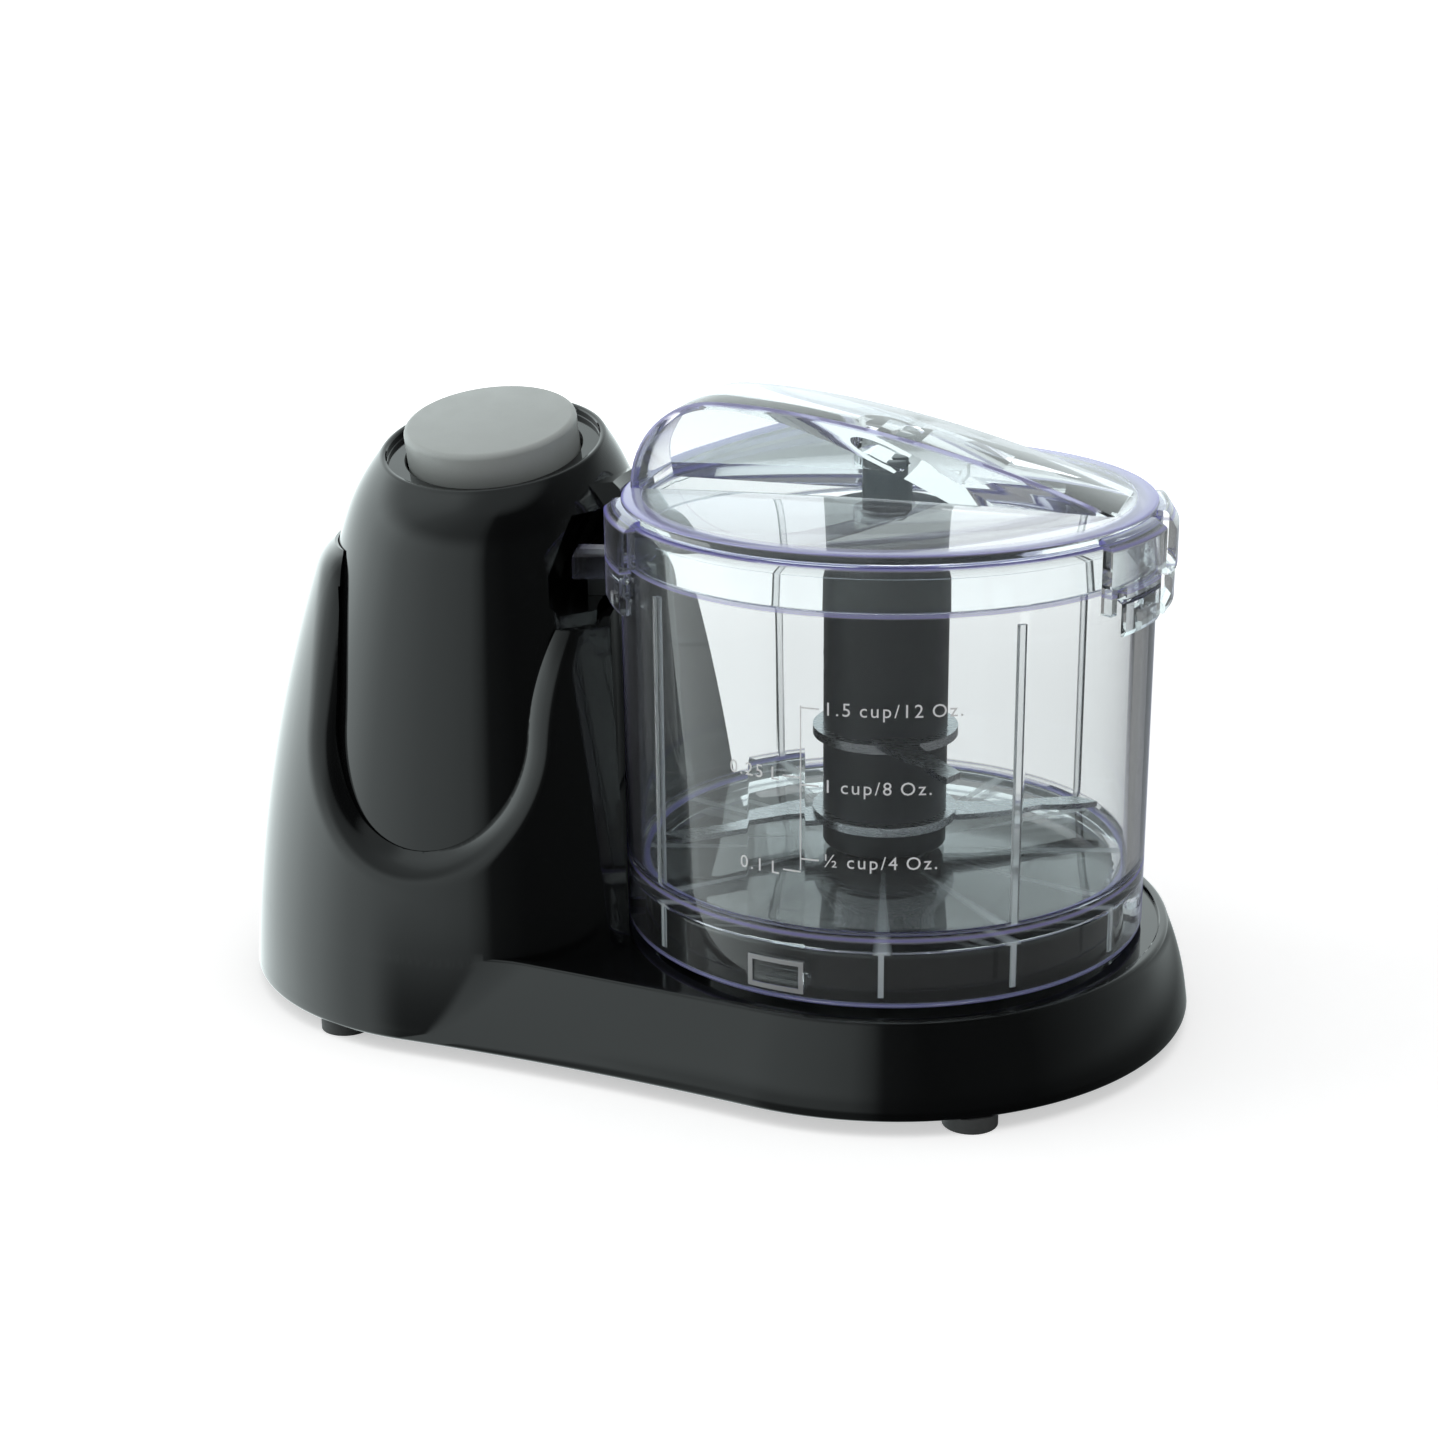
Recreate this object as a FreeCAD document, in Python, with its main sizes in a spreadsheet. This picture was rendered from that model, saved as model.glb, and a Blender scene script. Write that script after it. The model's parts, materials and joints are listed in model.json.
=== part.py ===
import FreeCAD, Part
import math
import os
import re
import Sketcher

# Electric mini chopper: a motor tower beside a clear bowl with a locking lid, on one base.
# Millimetres, +Z up. The origin is on the table, under the middle of the base.
# The tower stands on the -X side, the bowl on the +X side, and the front is -Y.

doc = FreeCAD.newDocument("chopper")
sheet = doc.addObject("Spreadsheet::Sheet", "sizes")

# Driving sizes, in millimetres and degrees
SIZES = {
    # base
    "bowl_to_tower": 32.3,
    "tower_end_radius": 57.0,
    "base_margin": 10.3,
    "waist_radius": 600.0,
    "foot_height": 3.0,
    "base_height": 21.8,
    "base_top_tower_radius": 48.6,
    "base_top_margin": 5.2,
    "base_bulge": 0.9,
    "base_edge": 0.8,
    "base_top_waist": 4000.0,
    "deck_drop": 1.0,
    "deck_border": 1.9,
    "housing_wall": 2.4,
    "plate_thickness": 2.2,
    "plate_inset": 3.2,
    "plate_gap": 0.3,
    # tower
    "shell_lean": 5.9,
    "shell_bow": 11.8,
    "shoulder_drop": 21.3,
    "shell_top_radius": 34.6,
    "shell_drop": 14.7,
    "cover_foot_height": 38.0,
    "cover_foot_radius": 47.4,
    "cover_lean": 10.2,
    "cover_bow": 3.8,
    "neck_drop": 13.7,
    "crown_power": 1.6,
    "tower_rise": 5.1,
    "top_radius": 24.3,
    "top_tilt": 13.5,
    "cover_wall": 2.2,
    "apron_front": 14.0,
    "seam_gap": 0.25,
    "scoop_radius": 20.5,
    "scoop_centre_height": 64.5,
    "scoop_bevel": 3.2,
    "scoop_flange": 8.0,
    "nest_gap": 2.5,
    "channel_depth": 12.3,
    "channel_drop": 24.3,
    "channel_roof_drop": 5.3,
    "channel_wall": 2.0,
    "channel_start": 172.0,
    "channel_sweep": 36.0,
    "bridge_gap": 0.5,
    "bridge_drop": 4.7,
    "bridge_rise": 0.3,
    # button
    "rim_width": 1.4,
    "well_depth": 1.6,
    "well_floor": 2.0,
    "button_radius": 18.5,
    "button_gap": 0.4,
    "button_proud": 5.5,
    "button_round": 1.1,
    "stem_radius": 2.6,
    "stem_gap": 0.12,
    # bowl
    "bowl_radius": 54.7,
    "bowl_wall": 2.4,
    "bowl_bottom_height": 22.3,
    "bowl_floor_height": 36.4,
    "bowl_floor_thickness": 3.0,
    "bowl_bead_height": 1.9,
    "bowl_bead": 0.4,
    "bowl_tube_bore": 6.3,
    "bowl_tube_wall": 1.9,
    "tube_drop": 21.3,
    "bowl_rib_width": 1.5,
    "bowl_rib_depth": 1.0,
    "rib_drop": 14.8,
    "bowl_rib_angle": 47.0,
    "skirt_rib_height": 9.5,
    "skirt_rib_depth": 0.6,
    "bayonet_height": 2.5,
    "bayonet_span": 13.0,
    "bayonet_gap": 0.35,
    "collar_inset": 3.9,
    "seat_gap": 0.05,
    # lid
    "lid_inset": 0.3,
    "lid_top_height": 112.3,
    "lid_edge": 2.3,
    "lid_seat_gap": 0.1,
    "plug_gap": 0.4,
    "plug_wall": 1.5,
    "plug_depth": 9.3,
    "fin_half_width": 12.3,
    "fin_wall": 1.8,
    "fin_round": 18.3,
    "fin_lift": 0.4,
    "fin_back_radius": 105.0,
    "fin_back_reach": 29.0,
    "boss_gap": 0.4,
    "boss_wall": 1.4,
    "boss_overlap": 1.6,
    "lock_gap": 0.3,
    "lock_reach": 3.2,
    "hook_end": -9.0,
    "hook_top_drop": 10.3,
    "hook_drop": 20.3,
    "hook_lug_drop": 16.7,
    "ear_start": 0.5,
    "ear_span": 19.0,
    "ear_drop": 21.8,
    "ear_split_drop": 13.7,
    "tab_start": 189.0,
    "tab_span": 10.0,
    "tab_drop": 17.8,
    "tab_height": 4.7,
    "loop_low": 24.2,
    "loop_height": 6.6,
    "loop_span": 12.3,
    # drive
    "spindle_radius": 3.0,
    "spindle_gap": 0.03,
    "column_radius": 5.5,
    "column_drop": 3.0,
    "bush_radius": 4.4,
    "coupler_flats": 9.2,
    "coupler_gap": 0.12,
    "hub_radius": 13.0,
    "hub_bottom_height": 37.4,
    "hub_lid_gap": 0.6,
    "hub_tube_gap": 0.6,
    "hub_stub_radius": 5.1,
    "stub_drop": 11.5,
    "blade_clearance": 4.8,
    "blade_thickness": 1.2,
    "lower_blade_height": 41.0,
    "upper_blade_height": 61.0,
    "belt_bottom": 8.5,
    "belt_width": 8.0,
    "belt_thickness": 1.5,
    "belt_gap": 0.08,
    "drive_pulley_radius": 30.0,
    "motor_pulley_radius": 9.0,
    "pulley_flange": 1.2,
    # motor
    "motor_radius": 25.0,
    "motor_bottom": 27.0,
    "motor_length": 47.0,
    "end_cap_height": 5.0,
    "switch_height": 13.0,
    "motor_shaft_radius": 2.5,
    "bracket_thickness": 2.5,
}

for row, (alias, size) in enumerate(SIZES.items(), start=1):
    sheet.set("A%d" % row, alias.replace("_", " "))
    sheet.set("B%d" % row, repr(size))
    sheet.setAlias("B%d" % row, alias)
doc.recompute()

# Sizes that follow from the bowl's radius or the lid's height by a named margin
FOLLOWS = {
    "axis_distance": "(bowl_radius + bowl_to_tower)",
    "bowl_end_radius": "(bowl_radius + base_margin)",
    "base_top_bowl_radius": "(bowl_radius + base_top_margin)",
    "collar_radius": "(bowl_radius - bowl_wall - collar_inset)",
    "lid_radius": "(bowl_radius - lid_inset)",
    "blade_reach": "(bowl_radius - bowl_wall - blade_clearance)",
    "top_height": "(lid_top_height + tower_rise)",
    "cover_neck_height": "(lid_top_height - neck_drop)",
    "shell_top_height": "(lid_top_height - shell_drop)",
    "shell_shoulder_height": "(lid_top_height - shoulder_drop)",
    "channel_bottom": "(lid_top_height - channel_drop)",
    "channel_top": "(lid_top_height - channel_roof_drop)",
    "bridge_bottom": "(lid_top_height - bridge_drop)",
    "bridge_top": "(lid_top_height + bridge_rise)",
    "bowl_tube_top": "(lid_top_height - tube_drop)",
    "bowl_rib_top": "(lid_top_height - rib_drop)",
    "hook_top": "(lid_top_height - hook_top_drop)",
    "hook_bottom": "(lid_top_height - hook_drop)",
    "hook_lug_height": "(lid_top_height - hook_lug_drop)",
    "ear_low": "(lid_top_height - ear_drop)",
    "ear_middle": "(lid_top_height - ear_split_drop)",
    "tab_low": "(lid_top_height - tab_drop)",
    "column_top": "(bowl_tube_top - column_drop)",
}

# Places that follow from the driving sizes
BOWL_X = "((tower_end_radius + axis_distance - bowl_end_radius) / 2)"
TOWER_X = "((tower_end_radius - axis_distance - bowl_end_radius) / 2)"
DECK = "(base_height - deck_drop)"
NEST = "(bowl_radius + nest_gap)"
BOWL_INNER = "(bowl_radius - bowl_wall)"


def link(text):
    """Turn bare size names into references to the sheet's cells."""

    def cell(match):
        name = match.group(0)
        return link(FOLLOWS[name]) if name in FOLLOWS else "sizes." + name

    return re.sub(r"[a-z]+(?:_[a-z]+)+", cell, str(text))


def value(text):
    """The present value of an expression on the sheet's sizes."""
    return float(sheet.evalExpression(link(text)))


def bind(item, prop, text):
    item.setExpression(prop, link(text))


def move(item, x="0", y="0", z="0", turn=None, axis=(0, 0, 1)):
    """Place an object from size expressions, turned about an axis by an angle."""
    if turn is not None:
        spin = FreeCAD.Rotation(FreeCAD.Vector(*axis), value(turn))
        item.Placement = FreeCAD.Placement(FreeCAD.Vector(), spin)
        item.Placement.Rotation.Axis = FreeCAD.Vector(*axis)
        bind(item, ".Placement.Rotation.Angle", turn)
    for letter, text in zip("xyz", (x, y, z)):
        bind(item, ".Placement.Base." + letter, text)
    return item


def new(kind, name):
    item = doc.addObject(kind, name)
    return item


def cylinder(name, radius, height, x="0", y="0", z="0"):
    item = new("Part::Cylinder", name)
    bind(item, "Radius", radius)
    bind(item, "Height", height)
    return move(item, x, y, z)


def box(name, length, width, height, x="0", y="0", z="0"):
    """A box whose low corner in X and Z is given, centred on y."""
    item = new("Part::Box", name)
    bind(item, "Length", length)
    bind(item, "Width", width)
    bind(item, "Height", height)
    return move(item, x, "(%s) - (%s) / 2" % (y, width), z)


def cut(name, base, tool):
    item = new("Part::Cut", name)
    item.Base = base
    item.Tool = tool
    return item


def fuse(name, pieces):
    item = new("Part::MultiFuse", name)
    item.Shapes = pieces
    item.Refine = True
    return item


def common(name, pieces):
    item = new("Part::MultiCommon", name)
    item.Shapes = pieces
    return item


def turned(name, source, x, y, z, turn, axis=(0, 0, 1)):
    """A copy of a source shape, turned about an axis and moved."""
    item = new("Part::Compound", name)
    item.Links = [source]
    return move(item, x, y, z, turn, axis)


def arc_centre(start, end, radius):
    """Centre of an arc from start to end; a positive radius bulges to the right of the way."""
    chord = end - start
    half = chord.Length / 2
    lift = math.sqrt(max(radius * radius - half * half, 0.0))
    side = FreeCAD.Vector(-chord.y, chord.x, 0).normalize()
    return (start + end) / 2 + side * lift * (1 if radius > 0 else -1)


def draw(sketch, points):
    """Draw a closed outline. Each point is (x, y) or (x, y, radius of the arc to the next)."""
    spots = [FreeCAD.Vector(value(p[0]), value(p[1]), 0) for p in points]
    ends = []
    first = sketch.GeometryCount
    for number, point in enumerate(points):
        here = spots[number]
        there = spots[(number + 1) % len(spots)]
        if len(point) == 2:
            sketch.addGeometry(Part.LineSegment(here, there), False)
            ends.append((1, 2))
            continue
        radius = value(point[2])
        centre = arc_centre(here, there, radius)
        angles = [math.atan2(p.y - centre.y, p.x - centre.x) for p in (here, there)]
        if radius < 0:
            angles.reverse()
        circle = Part.Circle(centre, FreeCAD.Vector(0, 0, 1), abs(radius))
        sketch.addGeometry(Part.ArcOfCircle(circle, angles[0], angles[1]), False)
        ends.append((1, 2) if radius > 0 else (2, 1))
    count = len(points)
    for number, point in enumerate(points):
        this, after = first + number, first + (number + 1) % count
        sketch.addConstraint(
            Sketcher.Constraint(
                "Coincident", this, ends[number][1], after, ends[(number + 1) % count][0]
            )
        )
        for kind, text in (("DistanceX", point[0]), ("DistanceY", point[1])):
            made = sketch.addConstraint(
                Sketcher.Constraint(kind, -1, 1, this, ends[number][0], value(text))
            )
            sketch.setExpression("Constraints[%d]" % made, link(text))
        if len(point) == 3:
            made = sketch.addConstraint(
                Sketcher.Constraint("Radius", this, abs(value(point[2])))
            )
            sketch.setExpression("Constraints[%d]" % made, link("abs(%s)" % point[2]))


def free_sketch(name, points, upright=False, x="0", y="0", z="0"):
    """A sketch of its own, flat or standing in the XZ plane."""
    sketch = new("Sketcher::SketchObject", name)
    draw(sketch, points)
    if upright:
        return move(sketch, x, y, z, "90", (1, 0, 0))
    return move(sketch, x, y, z)


def revolve(name, points, x="0", y="0", z="0"):
    """A solid turned about Z from an outline of (radius, height) points."""
    sketch = free_sketch(name + "_outline", points, True)
    item = new("Part::Revolution", name)
    item.Source = sketch
    item.Axis = FreeCAD.Vector(0, 0, 1)
    item.Base = FreeCAD.Vector(0, 0, 0)
    item.Angle = 360
    item.Solid = True
    return move(item, x, y, z)


def extrude(name, sketch, direction, length, back="0"):
    """A solid from a sketch, along a direction by a length and back by another."""
    item = new("Part::Extrusion", name)
    item.Base = sketch
    item.DirMode = "Custom"
    item.Dir = FreeCAD.Vector(*direction)
    bind(item, "LengthFwd", length)
    bind(item, "LengthRev", back)
    item.Solid = True
    return item


def origin_plane(body, role):
    return [item for item in body.Origin.OriginFeatures if item.Role == role][0]


def body_sketch(body, name, points, role="XZ_Plane", lift=None):
    sketch = body.newObject("Sketcher::SketchObject", name)
    sketch.AttachmentSupport = [(origin_plane(body, role), "")]
    sketch.MapMode = "FlatFace"
    if lift is not None:
        bind(sketch, ".AttachmentOffset.Base.z", lift)
    draw(sketch, points)
    return sketch


def turned_body(label, points, x="0", y="0", z="0", turn=None, axis=(0, 0, 1)):
    """A PartDesign body made by one revolution of (radius, height) points."""
    body = new("PartDesign::Body", label)
    sketch = body_sketch(body, label + "_section", points)
    made = body.newObject("PartDesign::Revolution", label + "_turning")
    made.Profile = sketch
    made.ReferenceAxis = (sketch, ["V_Axis"])
    made.Angle = 360
    body.Tip = made
    return move(body, x, y, z, turn, axis)


parts = []


def keep(item, label):
    """Record a finished piece under its own name."""
    item.Label = label
    parts.append(item)
    return item


def capsule(tower_radius, bowl_radius, waist=None):
    """Outline round both axes: two round ends joined by tangents or by hollow waist arcs."""
    small, large = "(%s)" % tower_radius, "(%s)" % bowl_radius
    if waist is None:
        lean = "((%s - %s) / axis_distance)" % (small, large)
        rise = "sqrt(1 - %s * %s)" % (lean, lean)
        bowl_dir, tower_dir = (lean, rise), (lean, rise)
    else:
        far, near = "(%s + %s)" % (waist, large), "(%s + %s)" % (waist, small)
        square = "(axis_distance * axis_distance + %s * %s - %s * %s)"
        bowl_cos = "(%s / (2 * axis_distance * %s))" % (square % (far, far, near, near), far)
        tower_cos = "(%s / (2 * axis_distance * %s))" % (square % (near, near, far, far), near)
        bowl_dir = ("(-%s)" % bowl_cos, "sqrt(1 - %s * %s)" % (bowl_cos, bowl_cos))
        tower_dir = (tower_cos, "sqrt(1 - %s * %s)" % (tower_cos, tower_cos))
    bow = () if waist is None else ("-(%s)" % waist,)
    bowl_x = "%s + %s * %s" % (BOWL_X, large, bowl_dir[0])
    tower_x = "%s + %s * %s" % (TOWER_X, small, tower_dir[0])
    return [
        (tower_x, "-%s * %s" % (small, tower_dir[1])) + bow,
        (bowl_x, "-%s * %s" % (large, bowl_dir[1]), large),
        ("%s + %s" % (BOWL_X, large), "0", large),
        (bowl_x, "%s * %s" % (large, bowl_dir[1])) + bow,
        (tower_x, "%s * %s" % (small, tower_dir[1]), small),
        ("%s - %s" % (TOWER_X, small), "0", small),
    ]


def loft(name, sections, ruled=False):
    item = new("Part::Loft", name)
    item.Sections = sections
    item.Solid = True
    item.Ruled = ruled
    return item


def ring(name, radius, x, y, z, tilt="0"):
    """A circle of quarter arcs to loft through, tilted about X towards the front."""
    item = new("Sketcher::SketchObject", name)
    back = "-(%s)" % radius
    corners = [(back, "0"), ("0", back), (radius, "0"), ("0", radius)]
    draw(item, [corner + (radius,) for corner in corners])
    return move(item, x, y, z, tilt, (1, 0, 0))


def cone(name, low_radius, high_radius, x, low, high):
    """An upright taper between two heights."""
    item = new("Part::Cone", name)
    bind(item, "Radius1", low_radius)
    bind(item, "Radius2", high_radius)
    bind(item, "Height", "(%s) - (%s)" % (high, low))
    return move(item, x, "0", low)


def sector(name, points, start, sweep, x=BOWL_X, z="0"):
    """Part of a turning about the bowl's axis, from a start angle over a sweep."""
    sketch = free_sketch(name + "_outline", points, True)
    item = new("Part::Revolution", name)
    item.Source = sketch
    item.Axis = FreeCAD.Vector(0, 0, 1)
    item.Base = FreeCAD.Vector(0, 0, 0)
    bind(item, "Angle", sweep)
    item.Solid = True
    return move(item, x, "0", z, start)


# Base: a tapered wall round both axes, with a shallow deck inside its raised border
base_sections = []
for number, (height, tower_r, bowl_r, waist) in enumerate(
    [
        ("foot_height", "tower_end_radius", "bowl_end_radius", "waist_radius"),
        (
            "(foot_height + base_height) / 2",
            "(tower_end_radius + base_top_tower_radius) / 2 + base_bulge",
            "(bowl_end_radius + base_top_bowl_radius) / 2 + base_bulge",
            "waist_radius * 1.5",
        ),
        (
            "base_height - base_edge",
            "base_top_tower_radius + base_edge / 2",
            "base_top_bowl_radius + base_edge / 2",
            "base_top_waist",
        ),
        (
            "base_height",
            "base_top_tower_radius - base_edge / 3",
            "base_top_bowl_radius - base_edge / 3",
            "base_top_waist",
        ),
    ]
):
    outline = free_sketch("base_outline_%d" % number, capsule(tower_r, bowl_r, waist))
    base_sections.append(move(outline, z=height))
base_block = loft("base_block", base_sections, True)
deck_outline = free_sketch(
    "deck_outline",
    capsule("base_top_tower_radius - deck_border", "base_top_bowl_radius - deck_border"),
    z=DECK,
)
deck_pocket = extrude("deck_pocket", deck_outline, (0, 0, 1), "deck_drop + 5")
base_shape = cut("base_shape", base_block, deck_pocket)

# Tower shell: rings that lean in faster and faster up to a rounded shoulder
SHELL_START = "foot_height"
SHOULDER_RADIUS = "(tower_end_radius - shell_lean - shell_bow)"
SHOULDER_DROP = "(%s - shell_top_radius)" % SHOULDER_RADIUS
SHOULDER_RISE = "(shell_top_height - shell_shoulder_height)"


def shell_rings(name, steps, inset="0"):
    """Rings up the shell's side, which leans by a straight share and a squared share."""
    rings = []
    for step in range(steps + 1):
        part = step / steps
        radius = "tower_end_radius - %s - shell_lean * %.4f - shell_bow * %.4f"
        height = "%s + (shell_shoulder_height - %s) * %.4f"
        rings.append(
            ring(
                "%s_%d" % (name, step),
                radius % (inset, part, part * part),
                TOWER_X,
                "0",
                height % (SHELL_START, SHELL_START, part),
            )
        )
    return rings


shell_sections = shell_rings("shell_ring", 3)
for number, (inward, upward) in enumerate(((0.3, 0.55), (1.0, 1.0))):
    shell_sections.append(
        ring(
            "shoulder_%d" % number,
            "%s - %s * %.2f" % (SHOULDER_RADIUS, SHOULDER_DROP, inward),
            TOWER_X,
            "0",
            "shell_shoulder_height + %s * %.2f" % (SHOULDER_RISE, upward),
        )
    )
shell_solid = loft("shell_solid", shell_sections, True)
nest_cut = cylinder("nest_cut", NEST, "120", BOWL_X, "0", DECK)
tower_skin = cut("tower_skin", shell_solid, nest_cut)
outer_shape = fuse("outer_shape", [base_shape, tower_skin])


def cover_form(name, grow, top_drop="0", steps=3, crown_steps=3):
    """The tower cover's form, grown or shrunk: level rings, then rings that tilt to the top."""
    sections = []
    for step in range(steps + 1):
        part = step / steps
        radius = "cover_foot_radius - cover_lean * %.4f - cover_bow * %.4f + %s"
        height = "cover_foot_height + (cover_neck_height - cover_foot_height) * %.4f"
        sections.append(
            ring(
                "%s_ring_%d" % (name, step),
                radius % (part, part * part, grow),
                TOWER_X,
                "0",
                height % part,
            )
        )
    for step in range(1, crown_steps + 1):
        part = step / crown_steps
        bend = "pow(%.4f; crown_power)" % part
        drop = "(%s) * %.4f" % (top_drop, part)
        neck = "(cover_foot_radius - cover_lean - cover_bow)"
        sections.append(
            ring(
                "%s_crown_%d" % (name, step),
                "%s - (%s - top_radius) * %s + (%s) * 0.66 + %s" % (neck, neck, bend, drop, grow),
                TOWER_X,
                "sin(top_tilt * %s) * %s" % (bend, drop),
                "cover_neck_height + (top_height - cover_neck_height) * %.4f - %s" % (part, drop),
                "top_tilt * " + bend,
            )
        )
    return loft(name, sections, True)


# Scoop: the U-shaped window in the front of the shell, with a bevelled lip
def scoop_outline(name, half_width, lower, flare, y):
    """A U outline standing in the XZ plane, wider towards the top right."""
    left = "%s - (%s)" % (TOWER_X, half_width)
    right = "%s + (%s)" % (TOWER_X, half_width)
    middle = "scoop_centre_height"
    return free_sketch(
        name,
        [
            (left, middle, half_width),
            (TOWER_X, "%s - (%s)" % (middle, lower), half_width),
            (right, middle),
            (right + " + 0.6", "74"),
            ("%s + (%s) * 0.8" % (right, flare), "84"),
            ("%s + (%s) * 1.9" % (right, flare), "92"),
            ("%s + (%s) * 4.2" % (right, flare), "104"),
            ("%s - (%s) * 1.4" % (left, flare), "104"),
            ("%s - (%s) / 2" % (left, flare), "84"),
        ],
        True,
        y=y,
    )


scoop_sections = [
    scoop_outline(
        "scoop_inner", "scoop_radius - 0.6", "scoop_radius - 0.2", "3.2",
        "-cover_foot_radius * 0.44",
    ),
    scoop_outline(
        "scoop_outer", "scoop_radius + scoop_bevel * 2.1", "scoop_radius + scoop_bevel * 1.5", "5.6",
        "-(tower_end_radius + 3)",
    ),
]
scoop_cut = loft("scoop_cut", scoop_sections, True)
flange_outline = scoop_outline(
    "flange_outline", "scoop_radius + scoop_flange", "scoop_radius + scoop_flange * 0.8", "5",
    "-30",
)
flange_zone = extrude("flange_zone", flange_outline, (0, -1, 0), "40")

# Hollow of the tower: inside the skin, behind the nest wall, and round the cover
PLATE_BOTTOM = "foot_height"
PLATE_TOP = "(foot_height + plate_thickness)"
CEILING = "(" + DECK + " - housing_wall)"
tower_hollow_form = cone(
    "tower_hollow_form",
    "tower_end_radius - housing_wall - 1.5",
    SHOULDER_RADIUS + " - housing_wall",
    TOWER_X,
    CEILING + " - 1",
    "shell_shoulder_height",
)
nest_keep = cylinder(
    "nest_keep", NEST + " + housing_wall", "120", BOWL_X, "0", DECK + " - housing_wall"
)
hollow_behind_nest = cut("hollow_behind_nest", tower_hollow_form, nest_keep)
tower_hollow = cut("tower_hollow", hollow_behind_nest, flange_zone)
cover_space_form = cover_form("cover_space_form", "seam_gap", crown_steps=1)
nest_low_keep = cylinder(
    "nest_low_keep",
    NEST + " + housing_wall",
    "shell_top_height - deck_drop - 2",
    BOWL_X,
    "0",
    "deck_drop",
)
cover_space = cut("cover_space", cover_space_form, nest_low_keep)

# Hollow of the base with the bottom plate's recess, and the drum under the bowl's collar
tower_end_hollow = cylinder(
    "tower_end_hollow",
    "base_top_tower_radius - housing_wall",
    CEILING + " - foot_height",
    TOWER_X,
    "0",
    "foot_height",
)
bowl_end_hollow = cylinder(
    "bowl_end_hollow",
    "base_top_bowl_radius - housing_wall",
    CEILING + " - foot_height",
    BOWL_X,
    "0",
    "foot_height",
)
middle_hollow = box(
    "middle_hollow",
    "axis_distance",
    "base_top_tower_radius * 1.9",
    CEILING + " - foot_height",
    TOWER_X,
    "0",
    "foot_height",
)
plate_recess_outline = free_sketch(
    "plate_recess_outline",
    capsule(
        "tower_end_radius - plate_inset + plate_gap",
        "bowl_end_radius - plate_inset + plate_gap",
        "waist_radius",
    ),
    z=PLATE_BOTTOM + " - 1",
)
plate_recess = extrude(
    "plate_recess", plate_recess_outline, (0, 0, 1), "plate_thickness + 1"
)
base_hollow = fuse(
    "base_hollow", [tower_end_hollow, bowl_end_hollow, middle_hollow, plate_recess]
)
COLLAR_TOP = "(bowl_floor_height - bowl_floor_thickness - seat_gap)"
drum_hollow = revolve(
    "drum_hollow",
    [
        ("0", DECK + " - housing_wall - 1"),
        ("collar_radius - housing_wall", DECK + " - housing_wall - 1"),
        ("collar_radius - housing_wall", COLLAR_TOP + " - housing_wall"),
        ("0", COLLAR_TOP + " - housing_wall"),
    ],
    BOWL_X,
)
# Collar that the bowl's floor rests on, and the spindle column
collar_form = revolve(
    "collar_form",
    [
        ("0", DECK + " - 1"),
        ("collar_radius", DECK + " - 1"),
        ("collar_radius", COLLAR_TOP),
        ("column_radius", COLLAR_TOP),
        ("column_radius", "column_top"),
        ("0", "column_top"),
    ],
    BOWL_X,
)
COLUMN_FOOT = "(belt_bottom + belt_width + 5.5)"
column_foot = cylinder(
    "column_foot", "column_radius + 3", COLLAR_TOP + " - " + COLUMN_FOOT, BOWL_X, "0", COLUMN_FOOT
)
column_bore = cylinder(
    "column_bore", "bush_radius", "column_top", BOWL_X, "0", COLUMN_FOOT + " - 1"
)

# Bayonet lugs round the collar
BAYONET_ANGLE = "-98"
LUG_LOW = "(bowl_bottom_height + 2.6 + bayonet_height + bayonet_gap)"
collar_lugs = []
for number in range(3):
    lug = sector(
        "collar_lug_%d" % number,
        [
            ("collar_radius - 1", LUG_LOW),
            (BOWL_INNER + " - 0.8", LUG_LOW),
            (BOWL_INNER + " - 0.8", LUG_LOW + " + bayonet_height - 0.8"),
            (BOWL_INNER + " - 1.6", LUG_LOW + " + bayonet_height"),
            ("collar_radius - 1", LUG_LOW + " + bayonet_height"),
        ],
        "%s + 120 * %d - bayonet_span / 2" % (BAYONET_ANGLE, number),
        "bayonet_span",
    )
    collar_lugs.append(lug)

# Interlock channel: the tower's slot that takes the lid's tab, open to the front
channel_cut = sector(
    "channel_cut",
    [
        (NEST + " - 4", "channel_bottom"),
        (NEST + " + channel_depth - 2", "channel_bottom"),
        (NEST + " + channel_depth", "channel_bottom + 2"),
        (NEST + " + channel_depth", "channel_bottom + 8"),
        (NEST + " + channel_depth * 0.62", "channel_top"),
        (NEST + " - 4", "channel_top"),
    ],
    "channel_start",
    "channel_sweep",
)
channel_block = sector(
    "channel_block",
    [
        (NEST + " - 4", "channel_bottom - channel_wall"),
        (NEST + " + channel_depth + channel_wall", "channel_bottom - channel_wall"),
        (NEST + " + channel_depth + channel_wall", "channel_bottom + 8"),
        (NEST + " + channel_depth * 0.62 + channel_wall", "channel_top + channel_wall"),
        (NEST + " - 4", "channel_top + channel_wall"),
    ],
    "channel_start - 2",
    "channel_sweep + 12",
)
channel_room = sector(
    "channel_room",
    [
        (NEST + " - 4", "channel_bottom - channel_wall - seam_gap"),
        (NEST + " + channel_depth + channel_wall + 0.4", "channel_bottom - channel_wall - seam_gap"),
        (NEST + " + channel_depth + channel_wall + 0.4", "channel_top + 4"),
        (NEST + " - 4", "channel_top + 4"),
    ],
    "channel_start - 2.4",
    "channel_sweep + 14",
)

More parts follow.
